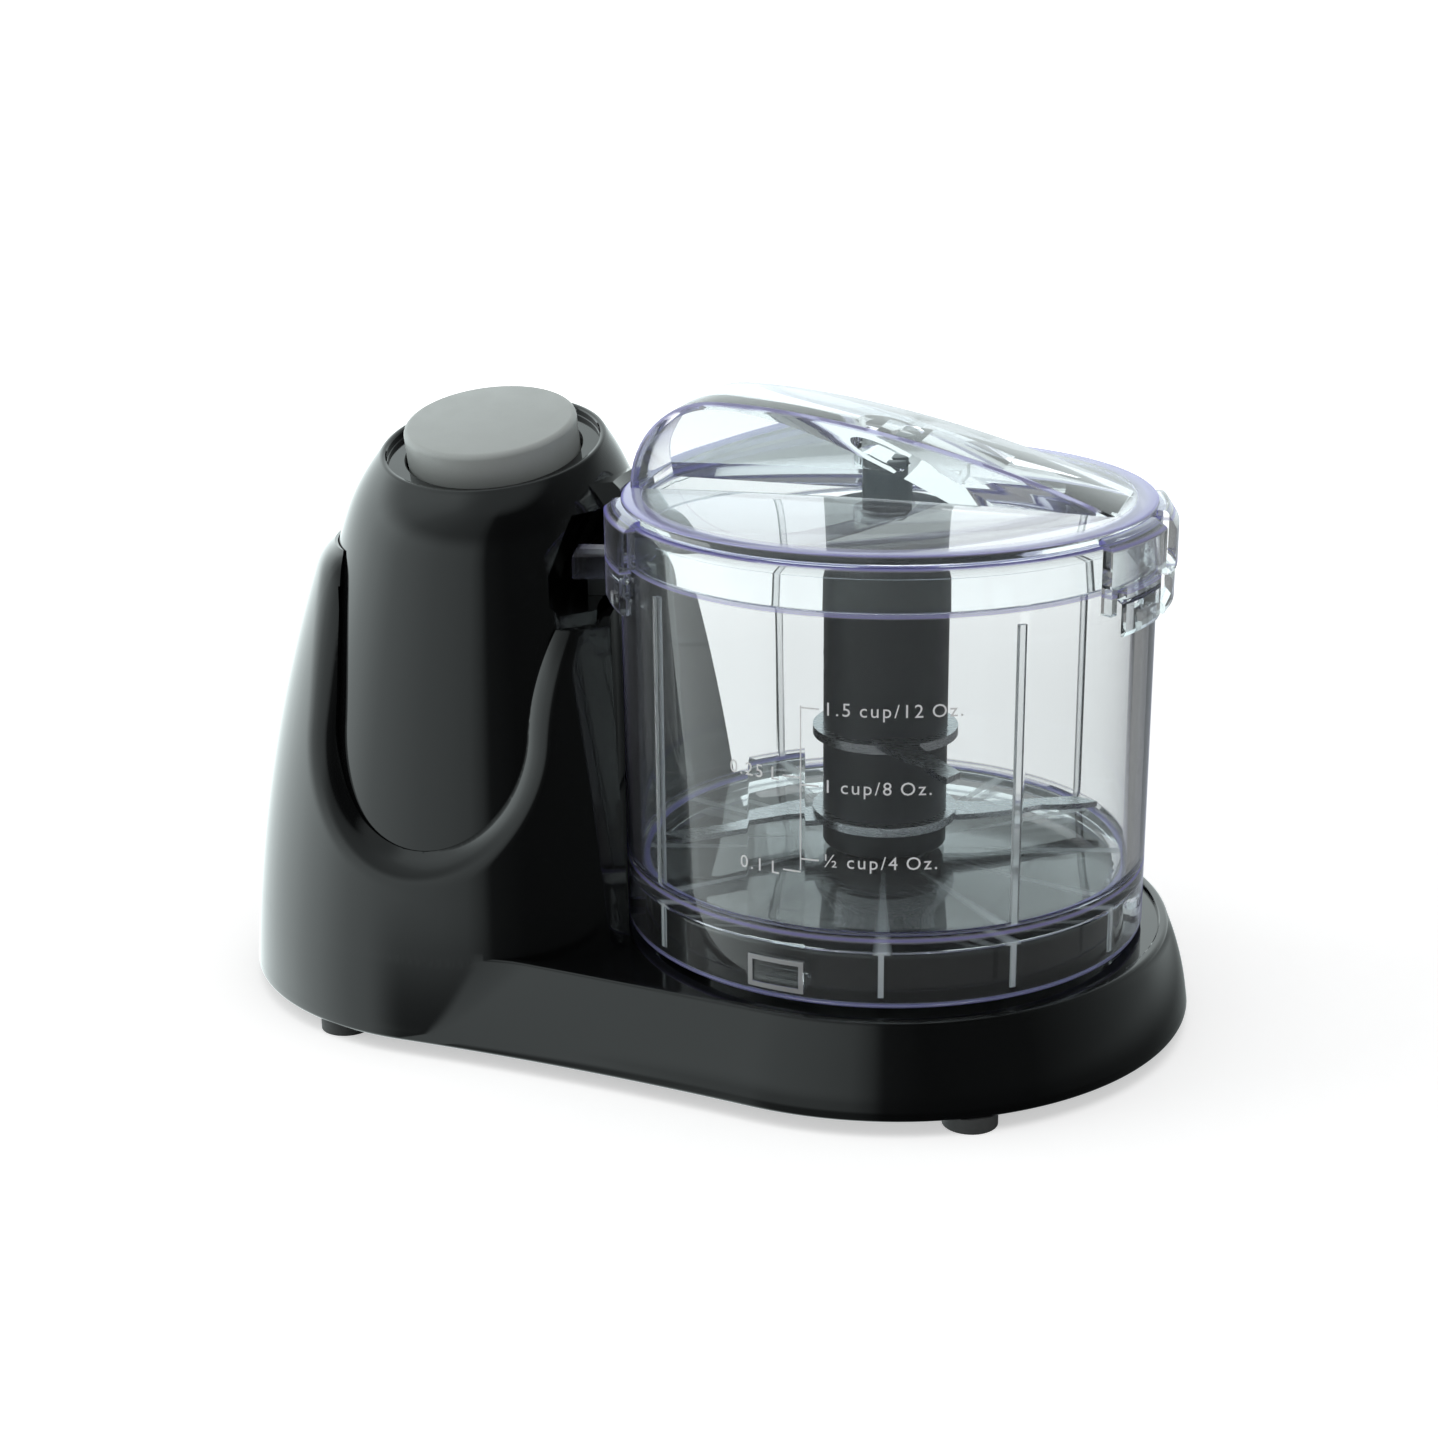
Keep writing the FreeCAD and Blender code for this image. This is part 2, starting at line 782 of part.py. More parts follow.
# Posts inside the base that the bottom plate screws up to
POST_SPOTS = [
    (TOWER_X + " - 44", "25"),
    (TOWER_X + " - 44", "-25"),
    (BOWL_X + " - 43", "43"),
    (BOWL_X + " - 43", "-43"),
    (BOWL_X + " + 36", "37"),
    (BOWL_X + " + 36", "-37"),
]
posts = []
for number, (x, y) in enumerate(POST_SPOTS):
    tall = DECK + " - 1 - " + PLATE_TOP
    posts.append(box("post_%d" % number, "7", "7", tall, "%s - 3.5" % x, y, PLATE_TOP))
post_group = fuse("post_group", posts)
posts_inside = common("posts_inside", [post_group, outer_shape])

# Cord inlet bore through the tower's back
INLET_Z = "(foot_height + 12)"
inlet_cut = cylinder("inlet_cut", "5.0", "30", TOWER_X, "0", "0")
inlet_cut = move(inlet_cut, TOWER_X, "tower_end_radius + 10", INLET_Z, "90", (1, 0, 0))
INLET_SEAT = "(tower_end_radius - 1.7)"
inlet_seat_cut = cylinder("inlet_seat_cut", "7.2", "20", TOWER_X, "0", "0")
inlet_seat_cut = move(inlet_seat_cut, TOWER_X, INLET_SEAT + " + 20", INLET_Z, "90", (1, 0, 0))

hollows = fuse("hollows", [tower_hollow, base_hollow, drum_hollow])
shell_body = cut("shell_body", outer_shape, hollows)
solids = fuse("solids", [shell_body, collar_form, column_foot, posts_inside] + collar_lugs)
drum_again = cut("drum_again", solids, cut("drum_clear", drum_hollow, column_foot))
removals = fuse(
    "removals", [cover_space, scoop_cut, column_bore, channel_room, inlet_cut, inlet_seat_cut]
)
housing_cut = cut("housing_cut", drum_again, removals)

# Two ledges inside the tower's wall that the cover's rear rim sits on
LEDGE_TOP = "(shell_top_height - 10)"
side_ledge = box(
    "side_ledge", "9", "12", "2.2", TOWER_X + " - 40", "0", LEDGE_TOP + " - 2.2"
)
back_ledge = box(
    "back_ledge", "12", "9", "2.2", TOWER_X + " - 6", "35.5", LEDGE_TOP + " - 2.2"
)
main_housing = keep(fuse("main_housing", [housing_cut, side_ledge, back_ledge]), "main_housing")

# Tower cover: the rounded core that carries the button, cut round the bowl's nest
cover_outer = cover_form("cover_outer", "0")
TILT = ("top_tilt", (1, 0, 0))


def tilted_cylinder(name, radius, low, high):
    """A cylinder along the button's axis, between two heights from the rim plane."""
    item = new("Part::Cylinder", name)
    bind(item, "Radius", radius)
    bind(item, "Height", "(%s) - (%s)" % (high, low))
    return move(
        item,
        TOWER_X,
        "-sin(top_tilt) * (%s)" % low,
        "top_height + cos(top_tilt) * (%s)" % low,
        *TILT
    )


COVER_NECK = "(cover_foot_radius - cover_lean - cover_bow)"
cover_inner_cone = cone(
    "cover_inner_cone",
    "cover_foot_radius - cover_wall",
    COVER_NECK + " - cover_wall",
    TOWER_X,
    "cover_foot_height - 1",
    "cover_neck_height + 2",
)
cover_inner_top = tilted_cylinder(
    "cover_inner_top", "top_radius + 0.9", "-22", "-(well_depth + well_floor)"
)
cover_inner = fuse("cover_inner", [cover_inner_cone, cover_inner_top])
nest_wall_keep = cylinder(
    "nest_wall_keep", NEST + " + cover_wall", "40", BOWL_X, "0", "shell_top_height - deck_drop - 2"
)
cover_hollow = cut(
    "cover_hollow", cover_inner, fuse("cover_keeps", [channel_block, nest_wall_keep])
)
nest_low = cylinder(
    "nest_low",
    NEST + " + housing_wall + seam_gap",
    "shell_top_height - deck_drop - 2 + seam_gap",
    BOWL_X,
    "0",
    "deck_drop",
)
nest_high = cylinder("nest_high", NEST, "60", BOWL_X, "0", "shell_top_height - 5")
well_cut = tilted_cylinder("well_cut", "top_radius - rim_width", "-well_depth", "8")
button_hole = tilted_cylinder("button_hole", "button_radius + button_gap", "-12", "8")
bridge = sector(
    "bridge",
    [
        ("bowl_radius + bowl_bead + bridge_gap", "bridge_bottom"),
        (NEST + " + 8", "bridge_bottom"),
        (NEST + " + 8", "bridge_top - 1"),
        ("bowl_radius + bowl_bead + bridge_gap + 1.5", "bridge_top"),
        ("bowl_radius + bowl_bead + bridge_gap", "bridge_top - 1.5"),
    ],
    "channel_start + 3",
    "14",
)
cover_bridged = fuse("cover_bridged", [cover_outer, bridge])
nest_high_cut = cut("nest_high_cut", nest_high, bridge)
cover_skin = cut("cover_skin", cover_bridged, cover_hollow)
cover_back = box(
    "cover_back",
    "120",
    "100",
    "shell_top_height - 10 - cover_foot_height + 1",
    TOWER_X + " - 60",
    "50 - apron_front",
    "cover_foot_height - 1",
)
cover_nested = cut(
    "cover_nested", cover_skin, fuse("nest_cuts", [nest_low, nest_high_cut, cover_back])
)
tower_cover = keep(
    cut("tower_cover", cover_nested, fuse("cover_cuts", [channel_cut, well_cut, button_hole])),
    "tower_cover",
)

# Button: a soft-grey cap on a stem, held under the well's floor by its flange.
# The stem ends just over the switch that stands on the motor's end cap.
FLANGE_TOP = "(-well_depth - well_floor - 0.1)"
MOTOR_TOP = "(motor_bottom + motor_length)"
SWITCH_LOW = "(" + MOTOR_TOP + " + end_cap_height)"
STEM_END = "(stem_gap - (top_height - %s - switch_height) / cos(top_tilt))" % SWITCH_LOW


def on_button(item):
    """Place a piece whose own Z axis is the button's axis."""
    return move(item, TOWER_X, "0", "top_height", *TILT)


button_cap = on_button(
    turned_body(
        "button_cap",
        [
            ("0", FLANGE_TOP + " - 1.6"),
            ("button_radius", FLANGE_TOP + " - 1.6"),
            ("button_radius", "button_proud - button_round"),
            ("button_radius - button_round", "button_proud"),
            ("0", "button_proud"),
        ],
    )
)
button_stem = tilted_cylinder("button_stem", "stem_radius", STEM_END, FLANGE_TOP + " - 1")
button_catch = new("Part::Box", "button_catch")
bind(button_catch, "Length", "button_radius * 1.53")
bind(button_catch, "Width", "button_radius * 1.53")
bind(button_catch, "Height", "1.6")
catch_spot = FLANGE_TOP + " - 1.6"
button_catch.Placement.Rotation = FreeCAD.Rotation(FreeCAD.Vector(1, 0, 0), value("top_tilt"))
move(
    button_catch,
    TOWER_X + " - button_radius * 0.765",
    "-button_radius * 0.765 * cos(top_tilt) - sin(top_tilt) * (%s)" % catch_spot,
    "top_height - button_radius * 0.765 * sin(top_tilt) + cos(top_tilt) * (%s)" % catch_spot,
    *TILT
)
keep(fuse("pulse_button", [button_cap, button_stem, button_catch]), "pulse_button")

# Bowl: clear cup with a centre tube, a bead under the rim, inner ribs and a skirt
RIM = "(lid_top_height - lid_edge - lid_seat_gap)"
BOWL_UNDER = "(bowl_floor_height - bowl_floor_thickness)"
bowl_form = revolve(
    "bowl_form",
    [
        (BOWL_INNER, "bowl_bottom_height"),
        ("bowl_radius", "bowl_bottom_height"),
        ("bowl_radius", RIM + " - bowl_bead_height"),
        ("bowl_radius + bowl_bead", RIM + " - bowl_bead_height"),
        ("bowl_radius + bowl_bead", RIM),
        (BOWL_INNER, RIM),
        (BOWL_INNER, "bowl_floor_height"),
        ("bowl_tube_bore + bowl_tube_wall", "bowl_floor_height"),
        ("bowl_tube_bore + bowl_tube_wall", "bowl_tube_top"),
        ("bowl_tube_bore", "bowl_tube_top"),
        ("bowl_tube_bore", BOWL_UNDER),
        (BOWL_INNER, BOWL_UNDER),
    ],
    BOWL_X,
)


def round_the_bowl(name, angles, depth, width, low, high, radius):
    """Upright ribs at some angles, standing inwards from a radius by a depth."""
    ribs = []
    for number, angle in enumerate(angles):
        stem = new("Part::Box", "%s_%d_box" % (name, number))
        bind(stem, "Length", "(%s) + 0.6" % depth)
        bind(stem, "Width", width)
        bind(stem, "Height", "(%s) - (%s)" % (high, low))
        move(stem, "(%s) - (%s)" % (radius, depth), "-(%s) / 2" % width, low)
        ribs.append(turned("%s_%d" % (name, number), stem, BOWL_X, "0", "0", angle))
    return ribs


inner_ribs = round_the_bowl(
    "inner_rib",
    ["bowl_rib_angle", "-bowl_rib_angle", "180 - bowl_rib_angle", "180 + bowl_rib_angle"],
    "bowl_rib_depth",
    "bowl_rib_width",
    "bowl_floor_height - 0.5",
    "bowl_rib_top",
    BOWL_INNER,
)
SKIRT_RIB_ANGLES = ["-17", "-47", "-76", "-132", "-162", "163", "133", "72", "43", "12"]
skirt_ribs = round_the_bowl(
    "skirt_rib",
    SKIRT_RIB_ANGLES,
    "skirt_rib_depth",
    "1.1",
    BOWL_UNDER + " - skirt_rib_height",
    BOWL_UNDER + " + 0.5",
    BOWL_INNER,
)
bowl_lugs = []
for number in range(3):
    bowl_lugs.append(
        sector(
            "bowl_lug_%d" % number,
            [
                ("collar_radius + 0.8", LUG_LOW + " - bayonet_gap - bayonet_height"),
                (BOWL_INNER + " + 1", LUG_LOW + " - bayonet_gap - bayonet_height"),
                (BOWL_INNER + " + 1", LUG_LOW + " - bayonet_gap"),
                ("collar_radius + 0.8", LUG_LOW + " - bayonet_gap"),
            ],
            "%s + 120 * %d - bayonet_span / 2 + 0.4" % (BAYONET_ANGLE, number),
            "bayonet_span - 0.8",
        )
    )

# Lock loop on the skirt: a rounded frame over the front lug
loop_ring = sector(
    "loop_ring",
    [
        (BOWL_INNER + " + 1", "loop_low"),
        ("bowl_radius + 0.45", "loop_low"),
        ("bowl_radius + 0.45", "loop_low + loop_height"),
        (BOWL_INNER + " + 1", "loop_low + loop_height"),
    ],
    BAYONET_ANGLE + " - loop_span / 2",
    "loop_span",
)
loop_inside = sector(
    "loop_inside",
    [
        (BOWL_INNER, "loop_low + 0.9"),
        ("bowl_radius + 2", "loop_low + 0.9"),
        ("bowl_radius + 2", "loop_low + loop_height - 0.9"),
        (BOWL_INNER, "loop_low + loop_height - 0.9"),
    ],
    BAYONET_ANGLE + " - loop_span / 2 + 1",
    "loop_span - 2",
)
lock_loop = cut("lock_loop", loop_ring, loop_inside)

# Grip ear and the three lugs that the lid's hooks slide over
EAR_OUT = "(bowl_radius + 3.4)"
bowl_ear = sector(
    "bowl_ear",
    [
        ("bowl_radius - 1", "ear_low"),
        ("bowl_radius + 2", "ear_low"),
        (EAR_OUT, "ear_low + 2.4"),
        (EAR_OUT, "ear_middle - 0.8"),
        (EAR_OUT + " - 0.8", "ear_middle"),
        ("bowl_radius - 1", "ear_middle"),
    ],
    "ear_start",
    "ear_span",
)
HOOK_TURNS = ["0", "-132", "113.5"]
hook_lugs = []
for number, shift in enumerate(HOOK_TURNS):
    hook_lugs.append(
        sector(
            "hook_lug_%d" % number,
            [
                ("bowl_radius - 1", "hook_lug_height"),
                ("bowl_radius + 1.8", "hook_lug_height"),
                ("bowl_radius + 1.8", "hook_lug_height + 2.2"),
                ("bowl_radius - 1", "hook_lug_height + 3.2"),
            ],
            "hook_end - 7 + %s" % shift,
            "6",
        )
    )
keep(
    fuse(
        "bowl",
        [bowl_form, bowl_ear, lock_loop] + inner_ribs + skirt_ribs + bowl_lugs + hook_lugs,
    ),
    "bowl",
)

# Lid: crowned plate with a plug skirt, a hollow raised fin, an ear and three hook arms
UNDER_LID = "(lid_top_height - lid_edge)"
PLUG_BOTTOM = "(" + UNDER_LID + " - plug_depth)"
PLUG_OUT = "(" + BOWL_INNER + " - plug_gap)"
lid_form = revolve(
    "lid_form",
    [
        ("0", UNDER_LID),
        (PLUG_OUT + " - plug_wall", UNDER_LID),
        (PLUG_OUT + " - plug_wall", PLUG_BOTTOM),
        (PLUG_OUT, PLUG_BOTTOM),
        (PLUG_OUT, UNDER_LID),
        ("lid_radius", UNDER_LID),
        ("lid_radius", "lid_top_height - 0.6"),
        ("lid_radius - 0.6", "lid_top_height"),
        ("0", "lid_top_height"),
    ],
    BOWL_X,
)
FIN_LEFT = "(" + BOWL_X + " - lid_radius + 2.8)"
FIN_TOP = "(lid_top_height + fin_round + fin_lift)"
STUB_TOP = "(" + FIN_TOP + " - stub_drop)"
HUB_TOP = "(" + UNDER_LID + " - hub_lid_gap)"
FIN_PEAK = "(" + FIN_LEFT + " + fin_round)"
FIN_SHOULDER = "(" + FIN_PEAK + " + fin_back_reach)"
FIN_END = "(" + BOWL_X + " + lid_radius - 2.6)"
SHOULDER_FALL = "(fin_back_reach * fin_back_reach / (2 * fin_back_radius))"
fin_outline = free_sketch(
    "fin_outline",
    [
        (FIN_LEFT, "lid_top_height - 1.4"),
        (FIN_END, "lid_top_height - 1.4"),
        (FIN_SHOULDER, FIN_TOP + " - " + SHOULDER_FALL, "fin_back_radius"),
        (FIN_PEAK, FIN_TOP, "fin_round"),
        (FIN_LEFT, FIN_TOP + " - fin_round"),
    ],
    True,
)
fin_solid = extrude("fin_solid", fin_outline, (0, -1, 0), "fin_half_width", "fin_half_width")
fin_hollow_outline = free_sketch(
    "fin_hollow_outline",
    [
        (FIN_LEFT + " + fin_wall", PLUG_BOTTOM),
        (FIN_END + " - 8", PLUG_BOTTOM),
        (FIN_END + " - 8", "lid_top_height - 0.9"),
        (
            FIN_SHOULDER + " - 0.6",
            FIN_TOP + " - fin_wall - " + SHOULDER_FALL,
            "fin_back_radius - fin_wall",
        ),
        (FIN_PEAK, FIN_TOP + " - fin_wall", "fin_round - fin_wall"),
        (FIN_LEFT + " + fin_wall", FIN_TOP + " - fin_round"),
    ],
    True,
)
FIN_CAVITY = "(fin_half_width - fin_wall)"
fin_hollow = extrude("fin_hollow", fin_hollow_outline, (0, -1, 0), FIN_CAVITY, FIN_CAVITY)
plug_guard = revolve(
    "plug_guard",
    [
        (PLUG_OUT + " - plug_wall", PLUG_BOTTOM + " - 1"),
        ("lid_radius + 2", PLUG_BOTTOM + " - 1"),
        ("lid_radius + 2", UNDER_LID),
        (PLUG_OUT + " - plug_wall", UNDER_LID),
    ],
    BOWL_X,
)
fin_opening = cut("fin_opening", fin_hollow, plug_guard)
lid_ear = sector(
    "lid_ear",
    [
        ("lid_radius - 1", UNDER_LID + " + 0.3"),
        ("bowl_radius + 0.8", UNDER_LID + " + 0.3"),
        ("bowl_radius + 0.8", "ear_middle + lock_gap"),
        ("bowl_radius + 3", "ear_middle + lock_gap"),
        (EAR_OUT + " + 0.4", "ear_middle + 1.2"),
        (EAR_OUT + " + 0.4", "lid_top_height - 4.2"),
        ("lid_radius + 2", "lid_top_height - 0.8"),
        ("lid_radius - 1", "lid_top_height - 0.6"),
    ],
    "ear_start",
    "ear_span",
)
ARM_IN = "(bowl_radius + 0.8)"
ARM_OUT = "(bowl_radius + lock_reach)"
arms = []
for number, shift in enumerate(HOOK_TURNS):
    band = sector(
        "arm_band_%d" % number,
        [
            ("lid_radius - 1", UNDER_LID + " + 0.3"),
            (ARM_IN, UNDER_LID + " + 0.3"),
            (ARM_IN, "hook_top"),
            (ARM_OUT, "hook_top"),
            (ARM_OUT, "lid_top_height - 2.6"),
            ("lid_radius + 1.2", "lid_top_height - 0.8"),
            ("lid_radius - 1", "lid_top_height - 0.6"),
        ],
        "hook_end - 20 + %s" % shift,
        "23",
    )
    bar = sector(
        "arm_bar_%d" % number,
        [
            (ARM_IN, "hook_bottom + 5"),
            (ARM_OUT, "hook_bottom + 5"),
            (ARM_OUT, "hook_top + 1"),
            (ARM_IN, "hook_top + 1"),
        ],
        "hook_end - 20 + %s" % shift,
        "1.8",
    )
    block = sector(
        "arm_block_%d" % number,
        [
            (ARM_IN, "hook_bottom"),
            (ARM_OUT + " - 0.5", "hook_bottom"),
            (ARM_OUT, "hook_bottom + 1"),
            (ARM_OUT, "hook_top + 1"),
            (ARM_IN, "hook_top + 1"),
        ],
        "hook_end - 15 + %s" % shift,
        "15",
    )
    pocket = sector(
        "arm_pocket_%d" % number,
        [
            ("bowl_radius", "hook_lug_height - lock_gap"),
            ("bowl_radius + 1.8 + lock_gap", "hook_lug_height - lock_gap"),
            ("bowl_radius + 1.8 + lock_gap", "hook_lug_height + 2.4 + lock_gap"),
            ("bowl_radius", "hook_lug_height + 3.6 + lock_gap"),
        ],
        "hook_end - 16 + %s" % shift,
        "17",
    )
    mouth = sector(
        "arm_mouth_%d" % number,
        [
            ("bowl_radius", "hook_bottom - 1"),
            ("bowl_radius + 1.8 + lock_gap", "hook_bottom - 1"),
            ("bowl_radius + 1.8 + lock_gap", "hook_lug_height + 1"),
            ("bowl_radius", "hook_lug_height + 1"),
        ],
        "hook_end - 16 + %s" % shift,
        "8",
    )
    arm_form = fuse("arm_form_%d" % number, [band, bar, block])
    arm_tool = fuse("arm_tool_%d" % number, [pocket, mouth])
    arms.append(cut("arm_%d" % number, arm_form, arm_tool))
lid_tab = sector(
    "lid_tab",
    [
        (ARM_IN, "tab_low"),
        (NEST + " + 7.5", "tab_low"),
        (NEST + " + 7.5", "tab_low + tab_height"),
        (ARM_IN, "tab_low + tab_height"),
    ],
    "tab_start",
    "tab_span",
)
tab_neck = sector(
    "tab_neck",
    [
        (ARM_IN, "tab_low"),
        (ARM_OUT, "tab_low"),
        (ARM_OUT, "hook_top + 2"),
        (ARM_IN, "hook_top + 2"),
    ],
    "tab_start + tab_span - 1",
    "3.6",
)
lid_solid = fuse(
    "lid_solid", [lid_form, fin_solid, lid_ear, lid_tab, tab_neck] + arms
)

# Boss under the fin's roof, which steadies the top of the blade hub
boss_form = cylinder(
    "boss_form",
    "hub_stub_radius + boss_gap + boss_wall",
    "stub_drop + boss_overlap",
    BOWL_X,
    "0",
    STUB_TOP + " - boss_overlap",
)
boss_bore = cylinder(
    "boss_bore",
    "hub_stub_radius + boss_gap",
    "boss_overlap + 1.5",
    BOWL_X,
    "0",
    STUB_TOP + " - boss_overlap",
)
boss = common("boss", [cut("boss_tube", boss_form, boss_bore), fin_solid])
lid_open = cut("lid_open", lid_solid, fin_opening)
keep(fuse("lid", [lid_open, boss]), "lid")

# Blade hub: a sleeve over the bowl's tube, turned by the hexagonal coupler in its top
HUB_IN = "(bowl_tube_bore + bowl_tube_wall + hub_tube_gap)"
hub_form = revolve(
    "hub_form",
    [
        (HUB_IN, "hub_bottom_height"),
        ("hub_radius", "hub_bottom_height"),
        ("hub_radius", HUB_TOP),
        ("hub_stub_radius", HUB_TOP),
        ("hub_stub_radius", STUB_TOP),
        ("0", STUB_TOP),
        ("0", "bowl_tube_top + 1"),
        (HUB_IN, "bowl_tube_top + 1"),
    ],
    BOWL_X,
)


def prism(name, flats, low, high, x, y="0"):
    """An upright hexagonal prism between two heights, by its width across flats."""
    item = new("Part::Prism", name)
    item.Polygon = 6
    bind(item, "Circumradius", "(%s) / sqrt(3)" % flats)
    bind(item, "Height", "(%s) - (%s)" % (high, low))
    return move(item, x, y, low)


COUPLER_TOP = "(column_top + 15)"
hub_socket = prism(
    "hub_socket", "coupler_flats + coupler_gap", "column_top", COUPLER_TOP + " + 0.4", BOWL_X
)
stub_notch = box(
    "stub_notch", "hub_stub_radius * 2 + 2", "2.4", "3", BOWL_X + " - hub_stub_radius - 1", "0",
    STUB_TOP + " - 1.6",
)
blade_hub = keep(
    cut("blade_hub", hub_form, fuse("hub_cuts", [hub_socket, stub_notch])), "blade_hub"
)


def blade_outline(name, reach, sweep, root):
    """A curved blade's plan: bellied cutting edge, straight back, rounded tip."""
    return free_sketch(
        name,
        [
            ("0", "-(%s)" % root, "abs(%s) * 1.4" % reach),
            ("(%s) * 0.72" % reach, "(%s) * 0.6" % sweep, "abs(%s) * 0.7" % reach),
            (reach, sweep),
            ("(%s) * 0.9" % reach, "(%s) + 3.2" % sweep),
            ("(%s) * 0.45" % reach, root),
            ("0", root),
        ],
    )


def blade(name, reach, sweep, root, height, tilt, turn):
    plan = blade_outline(name + "_plan", reach, sweep, root)
    plate = extrude(name + "_plate", plan, (0, 0, 1), "blade_thickness")
    leaned = turned(name + "_leaned", plate, "0", "0", "0", tilt, (0, 1, 0))
    return turned(name + "_wing", leaned, BOWL_X, "0", height, turn)


def blade_pair(label, height, tilt, turn):
    """Two opposite wings joined by a ring that grips the hub."""
    wings = [
        blade(label + "_a", "blade_reach", "7", "5.2", height, tilt, turn),
        blade(label + "_b", "blade_reach", "7", "5.2", height, tilt, "(%s) + 180" % turn),
    ]
    collar = cylinder(
        label + "_ring", "hub_radius + 2.2", "blade_thickness * 1.6", BOWL_X, "0", height
    )
    whole = fuse(label + "_whole", wings + [collar])
    bore = cylinder(label + "_bore", "hub_radius + spindle_gap", "60", BOWL_X, "0", "(%s) - 30" % height)
    return keep(cut(label, whole, bore), label)


blade_pair("lower_blade", "lower_blade_height + 2", "3", "20")
blade_pair("upper_blade", "upper_blade_height", "-6", "110")

# Spindle, its sleeve bearing, coupler and pulley
SPINDLE_LOW = "(belt_bottom - 1)"
turned_body(
    "drive_spindle",
    [
        ("0", SPINDLE_LOW),
        ("spindle_radius", SPINDLE_LOW),
        ("spindle_radius", "column_top + 14"),
        ("0", "column_top + 14"),
    ],
    BOWL_X,
)
keep(doc.getObject("drive_spindle"), "drive_spindle")
keep(
    turned_body(
        "spindle_sleeve",
        [
            ("spindle_radius + spindle_gap", COLUMN_FOOT),
            ("bush_radius", COLUMN_FOOT),
            ("bush_radius", "column_top - 0.2"),
            ("spindle_radius + spindle_gap", "column_top - 0.2"),
        ],
        BOWL_X,
    ),
    "spindle_sleeve",
)
coupler_form = prism("coupler_form", "coupler_flats", "column_top + 0.3", COUPLER_TOP, BOWL_X)
coupler_bore = cylinder(
    "coupler_bore", "spindle_radius", "column_top", BOWL_X, "0", "14.001"
)
keep(cut("drive_coupler", coupler_form, coupler_bore), "drive_coupler")
BELT_TOP = "(belt_bottom + belt_width)"


def pulley(label, radius, bore, x):
    """A flanged pulley, turned about its shaft."""
    return keep(
        turned_body(
            label,
            [
                (bore, "belt_bottom - pulley_flange"),
                ("(%s) + pulley_flange" % radius, "belt_bottom - pulley_flange"),
                ("(%s) + pulley_flange" % radius, "belt_bottom - belt_gap"),
                (radius, "belt_bottom - belt_gap"),
                (radius, BELT_TOP + " + 0.5"),
                (bore, BELT_TOP + " + 0.5"),
            ],
            x,
        ),
        label,
    )


pulley("drive_pulley", "drive_pulley_radius", "spindle_radius", BOWL_X)
pulley("motor_pulley", "motor_pulley_radius", "motor_shaft_radius", TOWER_X)
# Drive belt: a flat loop round both pulleys
belt = new("PartDesign::Body", "drive_belt")
belt_plan = body_sketch(
    belt,
    "belt_plan",
    capsule(
        "motor_pulley_radius + belt_gap + belt_thickness",
        "drive_pulley_radius + belt_gap + belt_thickness",
    ),
    "XY_Plane",
)
draw(belt_plan, capsule("motor_pulley_radius + belt_gap", "drive_pulley_radius + belt_gap"))
belt_pad = belt.newObject("PartDesign::Pad", "belt_pad")
belt_pad.Profile = belt_plan
bind(belt_pad, "Length", "belt_width")
belt.Tip = belt_pad
keep(move(belt, z="belt_bottom"), "drive_belt")

# Motor: a sealed can, an end cap and the shaft through both
SHAFT_HOLE = "(motor_shaft_radius + spindle_gap)"
keep(
    turned_body(
        "motor_can",
        [
            (SHAFT_HOLE, "motor_bottom"),
            ("motor_radius", "motor_bottom"),
            ("motor_radius", MOTOR_TOP),
            (SHAFT_HOLE, MOTOR_TOP),
        ],
        TOWER_X,
    ),
    "motor_can",
)
end_cap_form = box(
    "end_cap_form", "30", "30", "end_cap_height", TOWER_X + " - 15", "0", MOTOR_TOP
)
end_cap_bore = cylinder(
    "end_cap_bore", SHAFT_HOLE, "end_cap_height + 3", TOWER_X, "0", MOTOR_TOP + " - 1"
)
keep(cut("motor_end_cap", end_cap_form, end_cap_bore), "motor_end_cap")
keep(
    turned_body(
        "motor_shaft",
        [
            ("0", SPINDLE_LOW),
            ("motor_shaft_radius", SPINDLE_LOW),
            ("motor_shaft_radius", MOTOR_TOP + " + end_cap_height - 0.5"),
            ("0", MOTOR_TOP + " + end_cap_height - 0.5"),
        ],
        TOWER_X,
    ),
    "motor_shaft",
)
# Motor bracket on its posts, and the bottom plate with feet and vents
BRACKET_LOW = "(motor_bottom - bracket_thickness)"
bracket_plate = box(
    "bracket_plate", "52", "68", "bracket_thickness", TOWER_X + " - 26", "0", BRACKET_LOW
)
bracket_hole = cylinder("bracket_hole", "8", "10", TOWER_X, "0", BRACKET_LOW + " - 1")
bracket_posts = []
for number, (x, y) in enumerate((("16", "29"), ("16", "-29"), ("-22", "29"), ("-22", "-29"))):
    post_height = BRACKET_LOW + " - " + PLATE_TOP
    spot = "%s + (%s)" % (TOWER_X, x)
    bracket_posts.append(
        box("bracket_post_%d" % number, "6", "6", post_height, spot, y, PLATE_TOP)
    )
bracket_whole = fuse("bracket_whole", [bracket_plate] + bracket_posts)
keep(cut("motor_bracket", bracket_whole, bracket_hole), "motor_bracket")
plate_outline = free_sketch(
    "plate_outline",
    capsule(
        "tower_end_radius - plate_inset", "bowl_end_radius - plate_inset", "waist_radius"
    ),
    z=PLATE_BOTTOM,
)
plate_slab = extrude("plate_slab", plate_outline, (0, 0, 1), "plate_thickness")
vents = []
for number in range(6):
    vents.append(
        box(
            "vent_%d" % number, "2.2", "26 - 3 * abs(%d - 2.5)" % number, "8",
            TOWER_X + " - 16.1 + 6 * %d" % number, "0", "0",
        )
    )
keep(cut("bottom_plate", plate_slab, fuse("vents", vents)), "bottom_plate")
